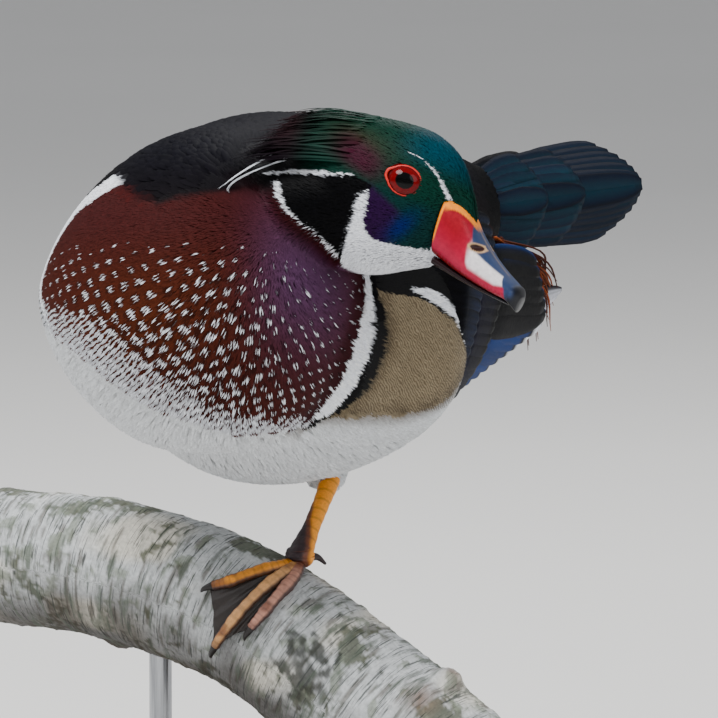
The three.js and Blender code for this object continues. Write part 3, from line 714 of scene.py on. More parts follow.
def streaked(material, dark, amount, along, round_it, low, high):
    """Dark streaks that run round the branch, from its map in millimetres."""
    where = node(material, "UVMap", "UV", uv_map="Bark")
    scaled = node(material, "Mapping", "Vector", {"Scale": (along, round_it, 1), "Vector": where})
    grain = node(material, "TexNoise", "Fac", {
        "Scale": 1, "Detail": 6, "Roughness": 0.6, "Distortion": 0.5, "Vector": scaled,
    })
    cut = {"From Min": low, "From Max": high, "To Max": amount, "Value": grain}
    covered(material, node(material, "MapRange", "Result", cut), dark)


def grained(name, dark, light, stretch, roughness, **settings):
    """Streaks along one direction, for wood grain or brushed metal."""
    material = blank(name)
    place = node(material, "TexCoord", "Object")
    scaled = node(material, "Mapping", "Vector", {"Scale": stretch, "Vector": place})
    grain = node(material, "TexNoise", "Fac", {"Scale": 60, "Detail": 6, "Distortion": 0.6, "Vector": scaled})
    colour = node(material, "ValToRGB", "Color", {"Fac": grain})
    for end, position, tint in zip(colour.node.color_ramp.elements, (0.35, 0.65), (dark, light)):
        end.position = position
        end.color = (*tint, 1)
    return surfaced(material, colour, grain, roughness, 0.2, 0.12, 0.0005, settings)


down = shader("down", 0.7, 1400, 0.06, Specular_IOR_Level=0.09)
flank_finish = shader("flank", 0.6, 1400, 0.06, Specular_IOR_Level=0.12)
fine_lines(flank_finish)
sleek = shader("sleek", 0.6, 1400, 0.06, Specular_IOR_Level=0.03)
gloss_feather = shader("gloss_feather", 0.5, 1600, 0.06, Specular_IOR_Level=0.05)
vane_finish = barbed("vane", 0.5, Specular_IOR_Level=0.03)
horn = shader("horn", 0.34, 700, 0.06, Specular_IOR_Level=0.22)
wet = shader("wet_eye", 0.05, 1200, 0.0, Specular_IOR_Level=0.14)
bare_skin = shader("bare_skin", 0.5, 1500, 0.4)
scale_skin = shader("scale_skin", 0.5, 1300, 0.5)
bark = shader("bark", 0.85, 900, 0.8, Specular_IOR_Level=0.2)


# The skin: one surface over head, neck, body and thigh, inside the coat
NAPE = head.out([-20, 0, -16])
neck_line = spline([BREAST + [12, 2, 14], BREAST + [34, -4, 32], NAPE])
y_rows = -BREAST_RADIUS * np.cos(np.linspace(0.06, math.pi / 2, 26))
y_rows = np.concatenate([y_rows, np.linspace(3, 176, 58)])
turns = full_turn(96)
flesh = Shape()
flesh.add(body.out(torso_point(y_rows[:, None], turns[None], -COAT)), rings(len(y_rows), 96), JET)
x_rows = np.linspace(-46, 28.5, 60)
flesh.add(head.out(head_point(x_rows[:, None], turns[None], -HEAD_COAT)), rings(60, 96), JET)
flesh.add(*tube(neck_line, lambda t: 27 - COAT + (17.5 - 27) * t, 48, 20), JET)
thigh_line = spline([BREAST + HEEL + [-4, 10, 26], BREAST + HEEL + [-3.4, 2.5, -1.5]])
flesh.add(*tube(thigh_line, lambda t: 13.5 - 8 * t, 32, 8), JET)
skin = flesh.piece("skin", "body_plumage", down, ("torso", "neck", "head", "thigh_left"))


def smoothed(mesh, times):
    """Evens a mesh out: each point moves half way to its neighbours, then a little further back."""
    points = np.zeros(len(mesh.vertices) * 3)
    mesh.vertices.foreach_get("co", points)
    points = points.reshape(-1, 3)
    edges = np.zeros(len(mesh.edges) * 2, np.int64)
    mesh.edges.foreach_get("vertices", edges)
    i, j = edges.reshape(-1, 2).T
    share = np.maximum(np.bincount(i, minlength=len(points)) + np.bincount(j, minlength=len(points)), 1)
    for turn in range(times):
        total = np.stack([
            np.bincount(i, points[j, k], len(points)) + np.bincount(j, points[i, k], len(points))
            for k in range(3)
        ], 1)
        pull = 0.5 if turn % 2 == 0 else -0.52
        points = points + pull * (total / share[:, None] - points)
    mesh.vertices.foreach_set("co", points.ravel())
    mesh.update()
    return points / MM


def remeshed(thing, voxel, times):
    """The object's points, after its surface is made one even, smooth mesh."""
    thing.data.remesh_voxel_size = voxel * MM
    bpy.ops.object.select_all(action="DESELECT")
    bpy.context.view_layer.objects.active = thing
    thing.select_set(True)
    bpy.ops.object.voxel_remesh()
    points = smoothed(thing.data, times)
    thing.data.polygons.foreach_set("use_smooth", np.ones(len(thing.data.polygons), bool))
    return points


skin_points = remeshed(skin, 1.5, 16)
# The skin between the tufts is painted at 0.8 of the coat's colour: painted shade under the coat
paint(skin.data, coat_colour(skin_points) * 0.8)


# The coat: tufts over the skin
skin.data.calc_loop_triangles()
triangles = np.zeros(len(skin.data.loop_triangles) * 3, np.int64)
skin.data.loop_triangles.foreach_get("vertices", triangles)
triangles = triangles.reshape(-1, 3)
corners = skin_points[triangles]
cross = np.cross(corners[:, 1] - corners[:, 0], corners[:, 2] - corners[:, 0])
areas = np.linalg.norm(cross, axis=1) / 2
facing = unit(cross)
middles = corners.mean(1)
under_coat = BVHTree.FromPolygons(skin_points.tolist(), triangles.tolist())


def drop_on(points):
    """The nearest places on the skin, and which way it faces there."""
    found = [under_coat.find_nearest(Vector(p)) for p in points]
    return np.array([f[0] for f in found]), np.array([f[1] for f in found])


NECK_HUB = np.array([30, -5, 40])


def lie_of(world, head_like):
    """Which way the coat lies: back over the head, and away from the neck, then back, on the body."""
    b = body.into(world)
    back = np.interp(b[:, 1], [-40, 20], [0.35, 1.5])
    away = unit(b - NECK_HUB)
    on_body = (away + back[:, None] * np.array([0, 1, 0])) @ BODY_TURN.T
    p = head.into(world)
    over = np.tile([-1.0, 0, -0.15], (len(p), 1)) @ HEAD_TURN.T
    down_neck = unit(world - head.out([-4, 0, 6]))
    falling = step(-24, -34, p[:, 2])[:, None]
    on_head = over * (1 - falling) + down_neck * falling
    share = np.asarray(head_like, float)[:, None]
    return on_body * (1 - share) + on_head * share


def head_share(world):
    """1 on the head, 0 on the body, and between them down the neck."""
    p = head.into(world)
    collar_z = np.where(p[:, 0] > CHIN, -40, through(COLLAR, p[:, 0]))
    near = (np.abs(p[:, 1]) < 27) & (p[:, 0] > -56) & (p[:, 0] < 40)
    return near * step(14, 0, collar_z - p[:, 2])


def azimuthal(directions):
    """A flat map of directions round their mean, and no place twice."""
    axis = unit(directions.mean(0)[None])[0]
    side = unit(np.cross(axis, [0.3, 0.2, 0.9])[None])[0]
    top = np.cross(axis, side)
    off = np.arccos(np.clip(directions @ axis, -1, 1))
    flat = np.stack([directions @ side, directions @ top], 1)
    flat = unit(flat) * off[:, None]
    low, high = flat.min(0), flat.max(0)
    return 0.01 + 0.975 * (flat - low) / np.maximum(high - low, 1e-6)


PATCH = 0.003


class Tuft:
    """A tuft's form: where its rings are, how wide, how dark each ring is painted (painted shade at the root,
    a little lighter at the tip), and how far it keeps one colour.
    """

    def __init__(self, at, wide, dark, single=0.0):
        self.at, self.wide, self.dark, self.single = np.array(at), np.array(wide), np.array(dark), single
        rows = len(at)
        faces = [[0, 2, 1]]
        for k in range(rows - 1):
            for a, b in ((0, 1), (1, 2), (2, 0)):
                faces += [[3 * k + a, 3 * k + b, 3 * k + 3 + b], [3 * k + a, 3 * k + 3 + b, 3 * k + 3 + a]]
        last, tip = 3 * rows - 3, 3 * rows
        faces += [[last, last + 1, tip], [last + 1, last + 2, tip], [last + 2, last, tip]]
        self.faces, self.size = np.array(faces), tip + 1
        across = np.tile([0, 1, 0.5], rows)
        self.corner = np.append(np.stack([across, np.repeat(self.at, 3)], 1), [[0.5, 1]], 0)


BROAD = Tuft([0, 0.42, 0.82], [0.55, 1, 0.85], [0.8, 0.9, 1, 1.1])
FINE = Tuft([0, 0.6], [0.7, 1], [0.6, 0.9, 1.05])
STREAK = Tuft([0, 0.55], [0.7, 1], [0.55, 0.95, 1.08], 0.9)
SILK = Tuft([0, 0.6], [0.7, 1], [0.85, 0.97, 1.04])


STRAY = 0.08


def coat(name, mask, count, length, width, lift, slot, material, hub, form):
    """Tufts with roots spread over part of the skin. length, width and lift are in millimetres."""
    count = int(count * (1))
    weight = areas * mask
    chosen = rng.choice(len(areas), count, p=weight / weight.sum())
    mix = rng.dirichlet([1, 1, 1], count)
    root = np.einsum("nk,nkd->nd", mix, corners[chosen])
    normal = facing[chosen]
    share = head_share(root)
    long = length * (1 + 0.15 * rng.standard_normal(count)).clip(0.6, 1.5)
    wander = rng.standard_normal((count, 3))

    def heading(at, out):
        way = unit(lie_of(at, share)) + STRAY * wander
        return unit(way - (way * out).sum(1)[:, None] * out)

    mid, mid_out = drop_on(root + heading(root, normal) * long[:, None] / 2)
    tip, tip_out = drop_on(mid + heading(mid, mid_out) * long[:, None] / 2)
    high = lift * rng.uniform(0.8, 1.12, count)[:, None]
    root = root - 0.35 * normal
    mid = mid + 0.5 * high * mid_out
    tip = tip + high * tip_out
    half = width * rng.uniform(0.8, 1.2, count) / 2
    t = form.at[None, :, None]
    line = root[:, None] * (1 - t) * (1 - 2 * t) + 4 * mid[:, None] * t * (1 - t)
    line = line + tip[:, None] * t * (2 * t - 1)
    out = unit(normal[:, None] * (1 - t) + tip_out[:, None] * t)
    sideways = unit(np.cross(out, unit(tip - root)[:, None]))
    spread = half[:, None, None] * form.wide[None, :, None]
    ridge = 0.14 * min(1, width)
    rows = len(form.at)
    points = np.stack([line - sideways * spread, line + sideways * spread, line + out * ridge], 2)
    points = np.concatenate([points.reshape(count, 3 * rows, 3), tip[:, None]], 1)
    turned = np.stack([out - 0.22 * sideways, out + 0.22 * sideways, out], 2).reshape(count, 3 * rows, 3)
    turned = unit(np.concatenate([turned, tip_out[:, None]], 1))
    at = np.concatenate([line, tip[:, None]], 1) + 0.14 * wander[:, None]
    at[:, 1:] = at[:, 1:].mean(1, keepdims=True) * form.single + at[:, 1:] * (1 - form.single)
    # form.dark paints shade on each tuft's root and lightens its tip a little
    tone = coat_colour(at.reshape(-1, 3)).reshape(count, rows + 1, 3) * form.dark[None, :, None]
    tone = tone * (1 + 0.08 * rng.standard_normal((count, 1, 1))).clip(0.7, 1.3)
    tones = np.concatenate([np.repeat(tone[:, :rows], 3, 1), tone[:, rows:]], 1)
    faces = form.faces[None] + form.size * np.arange(count)[:, None, None]
    spot = azimuthal(unit(root - hub))[:, None] + PATCH * form.corner[None]
    shape = Shape()
    shape.add(points, [faces.reshape(-1, 3)], tones.reshape(-1, 3), OFBake=spot)
    b = body.into(points.reshape(-1, 3))
    shape.lined = flank_share(b) & (b[:, 2] > -24) if material is flank_finish else 0
    piece = shape.piece(name, slot, material)
    piece.data.normals_split_custom_set_from_vertices(turned.reshape(-1, 3).tolist())
    return piece


# Where the eyes are, and the plane at the bill's root, in the head's frame
EYE_AT = np.array([0.3, 13.4, 0])
ROOT_WAY = np.array([0.985, 0, 0.17])
ROOT_AHEAD = 14.2


def ahead_of_root(p):
    return p @ ROOT_WAY - ROOT_AHEAD


middle_b = body.into(middles)
middle_p = head.into(middles)
middle_head = head_share(middles)
on_head = middle_head > 0.5
bill_top, bill_mouth, bill_half = np.moveaxis(UPPER_BILL(middle_p[:, 0]), -1, 0)
over_bill = np.sqrt(np.clip(1 - (np.abs(middle_p[:, 1]) / bill_half) ** 2.6, 0, 1))
under_bill = middle_p[:, 2] < bill_mouth + (bill_top - bill_mouth) * (0.5 + 0.5 * over_bill) - 0.2
bill_root = (ahead_of_root(middle_p) > 0) & under_bill & on_head
middle_turn = around(middle_b)
under_left_wing = (
    (middle_b[:, 0] > 0) & (middle_b[:, 1] > 78) & (middle_b[:, 1] < 165)
    & (middle_b[:, 2] < 28) & (middle_b[:, 2] > -20)
)
bare = on_head & bill_root
for side in (-1, 1):
    eye_gap = (middle_p - EYE_AT * [1, side, 1]) / [1.2, 1, 1]
    bare |= np.linalg.norm(eye_gap, axis=1) < 5.5
lower = ~on_head & (middle_b[:, 2] < belly_height(middle_b) + 1) & (middle_b[:, 1] < 8)
lower |= ~on_head & (middle_b[:, 1] >= 8) & (middle_turn < -26)
neck_zone = (middle_head > 0.02) & ~on_head
back_zone = ~on_head & ~neck_zone & ~lower & (
    ((mantle_share(middle_b) > 0.5) & (middle_b[:, 1] < 20)) | ((middle_b[:, 1] >= 20) & (middle_turn > 42))
)
breast_end = np.where(middle_b[:, 0] > 0, 14, -26)
breast_zone = ~on_head & ~neck_zone & ~lower & ~back_zone & (middle_b[:, 1] < breast_end)
side_zone = ~on_head & ~neck_zone & ~lower & ~back_zone & ~breast_zone
BODY_HUB = body.out([0, 40, -8])
HEAD_HUB = head.out([-12, 0, -10])
middle_breast = breast_zone & (np.abs(middle_b[:, 0] + 2) < 16)
left_side = side_zone & (middle_b[:, 0] > 0) & ~under_left_wing
tucked = np.concatenate([
    np.array([v.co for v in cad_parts[solid].data.vertices]) / MM
    for solid in ("shin_right", "foot_right")
])
leg_places = KDTree(len(tucked))
for number, place in enumerate(tucked):
    leg_places.insert(place, number)
leg_places.balance()
near_leg = np.array([leg_places.find(place)[2] < 8.5 for place in middles])
# Coat pieces: name, where, how many tufts, their length, width and lift, finish and form
BODY_COATS = [
    ("coat_breast_left", breast_zone & (middle_b[:, 0] >= 14), 16500, 4.6, 0.66, 1.15, down, STREAK),
    ("coat_breast_middle", middle_breast, 16500, 4.6, 0.66, 1.15, down, STREAK),
    ("coat_breast_right", breast_zone & (middle_b[:, 0] <= -18), 16000, 4.6, 0.68, 1.15, down, STREAK),
    ("coat_belly", lower, 14500, 8.5, 1.15, 1.1, down, SILK),
    ("coat_back", back_zone, 7500, 9, 2.9, 1.1, sleek, BROAD),
    ("coat_flank_left", left_side, 12500, 7, 1.2, 1.15, flank_finish, FINE),
    ("coat_flank_right", side_zone & (middle_b[:, 0] <= 0), 9500, 7.5, 1.5, 1.15, flank_finish, FINE),
    ("coat_neck", neck_zone, 9000, 4.6, 0.75, 1.15, down, FINE),
    ("coat_tuck", near_leg & ~on_head, 2600, 13, 2.0, 6.2, down, SILK),
]
for name, mask, count, length, width, lift, finish, form in BODY_COATS:
    coat(name, mask, count, length, width, lift, "body_plumage", finish, BODY_HUB, form)
face = on_head & ~bare & (middle_p[:, 0] > -8)
nape = on_head & ~bare & (middle_p[:, 0] <= -8)
coat("coat_face", face, 18000, 2.3, 0.42, 0.75, "head_plumage", gloss_feather, HEAD_HUB, FINE)
coat("coat_nape", nape, 14500, 3.2, 0.55, 0.75, "head_plumage", gloss_feather, HEAD_HUB, FINE)


# Bill
def bill_form(rows_at, low, high, rows, sides):
    x = np.linspace(low, high, rows)
    top, under, half = np.moveaxis(rows_at(x), -1, 0)
    turn = full_turn(sides)
    z = under[:, None] + (top - under)[:, None] * (0.5 + 0.5 * bulge(np.sin(turn), 0.8))[None]
    y = half[:, None] * bulge(np.cos(turn), 0.75)[None]
    return np.stack([np.broadcast_to(x[:, None], z.shape), y, z], -1)


BILL_RED = srgb(140, 0, 18)
MAGENTA = srgb(168, 4, 54)
YOLK = srgb(246, 140, 0)
BILL_WHITE = srgb(228, 222, 224)
BILL_BLUE = srgb(42, 58, 92)
NAIL = srgb(12, 14, 22)
IVORY = srgb(196, 160, 120)
NOSTRIL_DARK = srgb(40, 14, 12)
MOUTH_DARK = srgb(26, 8, 12)
NOSTRIL = np.array([31.6, -9.9])
UPPER_ROWS, UPPER_SIDES = 150, 96
LOWER_ROWS, LOWER_SIDES = 60, 48
# Edges on the side of the bill, as shares of its height by distance ahead of the eyes
BLUE_EDGE = [(24, 1.1), (27, 0.95), (30, 0.8), (31, 0.74), (36, 0.8), (44, 0.93), (46, 0.6)]
WHITE_EDGE = [(29, 0.62), (30.5, 0.42), (32, 0.34), (38, 0.4), (43, 0.46), (46, 0.66)]


def bent_up(p):
    """The bill's points, with its end a little shorter and bent up as in the photograph."""
    ahead = np.maximum(0, p[:, 0] - 26) / 27.5
    x = p[:, 0] - 0.22 * np.maximum(0, p[:, 0] - 47)
    return np.stack([x, p[:, 1], p[:, 2] + 3.3 * ahead**1.7], 1)


def from_nostril(p):
    """How far round the nostril's long hole each point is: 1 at its edge."""
    return np.hypot((p[:, 0] - NOSTRIL[0]) / 2.1, (p[:, 2] - NOSTRIL[1]) / 1.05)


def bill_colour(p):
    x, y, z = p[:, 0], p[:, 1], p[:, 2]
    top, mouth, half = np.moveaxis(UPPER_BILL(x), -1, 0)
    level = (z - mouth) / np.maximum(top - mouth, 1)
    c = np.tile(MAGENTA, (len(p), 1))
    c = lay(c, BILL_RED, 0.85 * step(34, 22, x) * step(0.1, 0.7, level))
    c = lay(c, BILL_RED * 0.6, step(0.16, 0.06, level))
    blue_edge, white_edge = through(BLUE_EDGE, x), through(WHITE_EDGE, x)
    white = step(-0.1, 0.06, level - white_edge) * step(28.2, 31.5, x) * step(46.8, 46, x)
    c = lay(c, BILL_WHITE, white)
    c = lay(c, BILL_BLUE, step(-0.03, 0.03, level - blue_edge))
    # Painted highlight: a faint pale line along the culmen's ridge
    ridge = np.exp(-((y / 0.5) ** 2)) * step(24, 27, x) * step(46, 43, x)
    c = lay(c, IVORY, 0.3 * ridge * (level > 0.8))
    c = lay(c, BILL_BLUE, step(45.8, 47, x - 4 * (0.6 - level)))
    c = lay(c, NAIL, step(47.5, 50.5, x))
    # Painted highlight: a pale blue glint on the nail
    c = lay(c, BILL_BLUE * 2.2, 0.5 * np.exp(-(((x - 50) / 1.2) ** 2) - ((level - 0.6) / 0.2) ** 2))
    rear = step(1.25, 0.75, ahead_of_root(p) + 0.04 * np.maximum(0, -z)) * step(-15.5, -12, z)
    wedge = np.abs(y) - HEAD(x)[:, 2]
    upper_arm = step(1.0, 0.6, wedge) * step(0.72, 0.85, level) * step(29, 26, x)
    c = lay(c, YOLK, np.maximum(rear, upper_arm))
    hole = from_nostril(p) + 9 * (np.abs(y) < 2.6)
    c = lay(c, IVORY, step(1.55, 1.25, hole))
    c = lay(c, NOSTRIL_DARK, step(1.15, 0.95, hole))
    return c * (0.94 + 0.08 * noise(p, 1.3, 51))[:, None]


flat_upper = bill_form(UPPER_BILL, 12.2, 53.5, UPPER_ROWS, UPPER_SIDES).reshape(-1, 3)
hole = from_nostril(flat_upper)
dent = 1.0 * np.exp(-((hole / 0.8) ** 2)) - 0.2 * np.exp(-(((hole - 1.4) / 0.35) ** 2))
flat_upper[:, 1] -= np.sign(flat_upper[:, 1]) * dent
mouth_z = UPPER_BILL(flat_upper[:, 0])[:, 1]
ridges = np.exp(-((flat_upper[:, 2] - mouth_z - 1.2) / 1.1) ** 2) * 0.1
flat_upper[:, 1] += np.sign(flat_upper[:, 1]) * ridges * np.sin(flat_upper[:, 0] * 4.2)
root_plane = (ROOT_AHEAD - ROOT_WAY[2] * flat_upper[:, 2]) / ROOT_WAY[0]
flat_upper[:, 0] = np.maximum(flat_upper[:, 0], root_plane)
upper_tint = bill_colour(flat_upper)
upper_bill = Shape().add(head.out(bent_up(flat_upper)), rings(UPPER_ROWS, UPPER_SIDES), upper_tint)
upper_bill.piece("bill_upper_horn", "bill_horn", horn, ("bill_upper",))
lower_form = bill_form(LOWER_BILL, 18.5, 49.5, LOWER_ROWS, LOWER_SIDES).reshape(-1, 3)
lower_form = lower_form * [1, 0.86, 1] + [0, 0, 0.9]
lower_tint = lay(np.tile(MOUTH_DARK, (len(lower_form), 1)), NAIL, step(40, 46, lower_form[:, 0]))
lower_bill = Shape().add(head.out(bent_up(lower_form)), rings(LOWER_ROWS, LOWER_SIDES), lower_tint)
lower_bill.piece("bill_lower_horn", "bill_horn", horn, ("bill_lower",))


# Eyes and lids
EYE_RADIUS = 6.2
EYE_SINK = 3.7
EYE_LONG = 1.16
LID_HIGH = 4.75
LID_THICK = 0.5
IRIS_RED = srgb(100, 0, 8)
IRIS_DEEP = srgb(44, 0, 4)
LID_ORANGE = srgb(196, 24, 10)
EYE_ROWS, EYE_SIDES = 70, 72
LID_ROWS, LID_SIDES = 96, 14
for side, name in ((-1, "right"), (1, "left")):
    out = unit(np.array([[0.27, side, 0.14]]))[0]
    ahead = unit(np.cross(out, [0, 0, 1])[None])[0]
    upward = np.cross(ahead, out)
    eye_at = EYE_AT * [1, side, 1]
    lean = np.radians(np.linspace(0.5, 100, EYE_ROWS))
    spin = full_turn(EYE_SIDES)
    radial = np.cos(spin)[:, None] * ahead * EYE_LONG + np.sin(spin)[:, None] * upward
    radial = np.sin(lean)[:, None, None] * radial
    bulb = eye_at - EYE_SINK * out + EYE_RADIUS * (np.cos(lean)[:, None, None] * out + radial)
    fibres = noise(np.stack([np.cos(spin) * 4, np.sin(spin) * 4, 0 * spin], 1), 0.35, 61)
    tint = np.tile(IRIS_RED, (EYE_ROWS * EYE_SIDES, 1)) * (1 + 0.25 * np.tile(fibres, EYE_ROWS))[:, None]
    degrees = np.repeat(np.degrees(lean), EYE_SIDES)
    tint = lay(tint, IRIS_DEEP, 0.8 * step(40, 52, degrees))
    tint = lay(tint, JET * 0.3, step(27.5, 25.5, degrees))
    eyeball = Shape().add(head.out(bulb.reshape(-1, 3)), rings(EYE_ROWS, EYE_SIDES)[:2], tint)
    eyeball.piece(f"eyeball_{name}", "eye", wet, (f"eye_{name}",))
    spin = full_turn(LID_ROWS)
    corner = 1 + 0.16 * np.exp(-(((np.cos(spin) * -side - 1) / 0.12) ** 2))
    rim = ahead * (np.cos(spin) * 1.22 * corner)[:, None] + upward * np.sin(spin)[:, None]
    rim_at = eye_at + LID_HIGH * rim - 0.2 * out
    thick = LID_THICK * (1 + 0.15 * noise(rim_at, 0.9, 62))
    round_rim = full_turn(LID_SIDES)[None, :, None]
    lid = rim_at[:, None] + thick[:, None, None] * (
        np.cos(round_rim) * unit(rim)[:, None] + np.sin(round_rim) * out
    )
    lid = lid.reshape(-1, 3)
    closed = rings(LID_ROWS + 1, LID_SIDES)[0] % len(lid)
    lid_tint = np.tile(LID_ORANGE, (len(lid), 1)) * (1 + 0.2 * noise(lid, 0.7, 63))[:, None]
    eyelid = Shape().add(head.out(lid), [closed], lid_tint)
    eyelid.piece(f"eyelid_{name}", "lid_skin", bare_skin, (f"lid_{name}",))


# Feathers of the wings and the tail
VANE_THICK = 0.45
VANE_COLUMNS = 9


def vane(shape, line, sideways, upward, half, tint, cell, rows, droop):
    """One closed feather with its shaft raised and its edges lowered."""
    s = np.linspace(0, 1, rows)
    c = np.concatenate([np.linspace(-1, 1, VANE_COLUMNS), np.linspace(1, -1, VANE_COLUMNS)])
    top = np.repeat([1, -1], VANE_COLUMNS)
    p, w = line(s), half(s)
    shaft = 0.35 * np.exp(-((c / 0.16) ** 2)) * (top > 0)
    fold = shaft[None] * (1 - 0.7 * s)[:, None] - droop * np.abs(c)[None] ** 2.2 * (w / 8)[:, None]
    thick = VANE_THICK * (1 - 0.75 * np.abs(c)) * 0.5 + 0.08
    high = fold + top[None] * thick[None] * (1 - 0.5 * s)[:, None]
    grid_s, grid_c = np.repeat(s, len(c)), np.tile(c, rows)
    split = 0.35 * noise(np.stack([60 * grid_s, 3 * grid_c, 0 * grid_s], 1), 2.3, 71)
    across = c[None] * w[:, None] * (1 + 0.07 * split.reshape(rows, -1) * (np.abs(c) > 0.9))
    points = p[:, None] + across[..., None] * sideways(s)[:, None] + high[..., None] * upward(s)[:, None]
    length = np.linalg.norm(np.diff(p, axis=0), axis=1).sum()
    tints = tint(grid_s, grid_c, points.reshape(-1, 3))
    tints = tints * (1 - 0.35 * np.exp(-((grid_c / 0.1) ** 2)))[:, None]
    i, j, n = cell
    u = (i + 0.04 + 0.44 * (0.5 + 0.5 * c) + 0.48 * (top < 0)) / n
    patch = np.stack([np.tile(u, rows), (j + 0.04 + 0.92 * grid_s) / n], 1)
    in_mm = np.stack([across.ravel(), grid_s * length], 1)
    mirrored = (np.cross(sideways(s), np.gradient(p, axis=0)) * upward(s)).sum() < 0
    faces = [f[:, ::-1] if mirrored else f for f in rings(rows, len(c))]
    shape.add(points.reshape(-1, 3), faces, tints, OFBake=patch, Vane=in_mm)


PRIMARY_GREY = srgb(44, 40, 46)
TERTIAL_BLACK = srgb(5, 5, 9)
SCAPULAR_BLUE = srgb(30, 40, 66)
# Side, and how much higher and further in the tips lie
LEFT_WING, RIGHT_WING = (1, 0, 0), (-1, 18, 17)
# Rows of feathers: name, how many, first and last root, first and last tip, half width, lift, bluntness
WING_ROWS = [
    ("primary", 7, (104, 1), (104, -9), (193, -2), (176, -13), 5, -1.2, 3),
    ("secondary", 10, (84, 6), (84, -17), (172, -11), (116, -28), 6.2, 1.2, 8),
    ("tertial", 6, (72, 25), (78, 5), (152, 14), (170, -7), 8, 4.4, 5),
    ("covert", 9, (70, 13), (72, -17), (113, 6), (103, -24), 5, 4.2, 7),
    ("lesser", 10, (62, 22), (64, -12), (92, 16), (86, -19), 5, 5.4, 6),
    ("scapular", 7, (48, 38), (58, 14), (108, 34), (112, 12), 6.5, 6.6, 4),
]


def feather_colour(kind):
    """A wing feather's colour by how far along it and how far across."""
    def at(s, c, points):
        n = len(s)
        if kind == "primary":
            t = np.tile(PRIMARY_GREY, (n, 1))
            t = lay(t, SILVER, 0.9 * step(0.68, 0.8, s) * step(0.6, 0.2, c))
            return lay(t, INK, step(0.97, 1, s) * step(0.4, 0.8, c))
        if kind == "secondary":
            t = np.tile(GRAPE, (n, 1))
            t = lay(t, SPECULUM, step(0.35, 0.5, s) * step(0.9, 0.84, s) * (0.75 + 0.25 * c))
            t = lay(t, JET, step(0.84, 0.88, s))
            return lay(t, SNOW, step(0.925, 0.945, s))
        if kind == "tertial":
            t = np.tile(TERTIAL_BLACK, (n, 1))
            return lay(t, SPECULUM * 0.8, 0.8 * step(0.72, 0.86, c) * step(0.2, 0.4, s))
        if kind == "covert":
            t = np.tile(GRAPE, (n, 1))
            t = lay(t, SLATE * 1.6, 0.8 * step(0.3, 0.7, s))
            return lay(t, JET, step(0.82, 0.93, s))
        t = np.tile(JET * 1.3, (n, 1))
        return lay(t, SCAPULAR_BLUE, 0.6 * step(0.4, 0.9, s) * step(0.9, 0.2, np.abs(c)))
    return at


WING_CELLS = 8


def wing_piece(name, solid, wing):
    shape = Shape()
    cells = [(i, j) for j in range(WING_CELLS) for i in range(WING_CELLS)]
    side = wing[0]
    for kind, count, root_a, root_b, tip_a, tip_b, half, lift, blunt in WING_ROWS:
        for n in range(count):
            t = n / (count - 1)
            root, tip = mixed(root_a, root_b, t), mixed(tip_a, tip_b, t)
            high = lift - 0.45 * n

            def line(s, root=root, tip=tip, high=high):
                yz = mixed(root[None], tip[None], np.asarray(s)[:, None])
                return body.out(wing_point(wing, yz[:, 0], yz[:, 1], mixed(-2, high, np.minimum(1, 2 * s))))

            def upward(s, line=line):
                p = line(s)
                ahead = unit(np.gradient(p, axis=0))
                outward = BODY_TURN @ np.array([side, 0, 0.35])
                return unit(outward - (ahead @ outward)[:, None] * ahead)

            def sideways(s, line=line, upward=upward):
                ahead = unit(np.gradient(line(s), axis=0))
                across = np.cross(ahead, upward(s)) * -side
                return unit(across + 0.22 * upward(s))

            def width(s, half=half, blunt=blunt):
                return half * mixed(0.6, 1, np.minimum(1, 2 * s)) * np.sqrt(1 - (0.985 * s) ** blunt)

            i, j = cells.pop(0)
            tone = 1 + 0.12 * rng.standard_normal()
            colour = feather_colour(kind)

            def tint(s, c, p, colour=colour, tone=tone):
                return colour(s, c, p) * tone

            vane(shape, line, sideways, upward, width, tint, (i, j, WING_CELLS), 20, 1.2)
    return shape.piece(name, "wing_plumage", vane_finish, (solid,))


wing_piece("wing_feathers_left", "wing_left", LEFT_WING)
wing_piece("wing_feathers_right", "wing_right", RIGHT_WING)

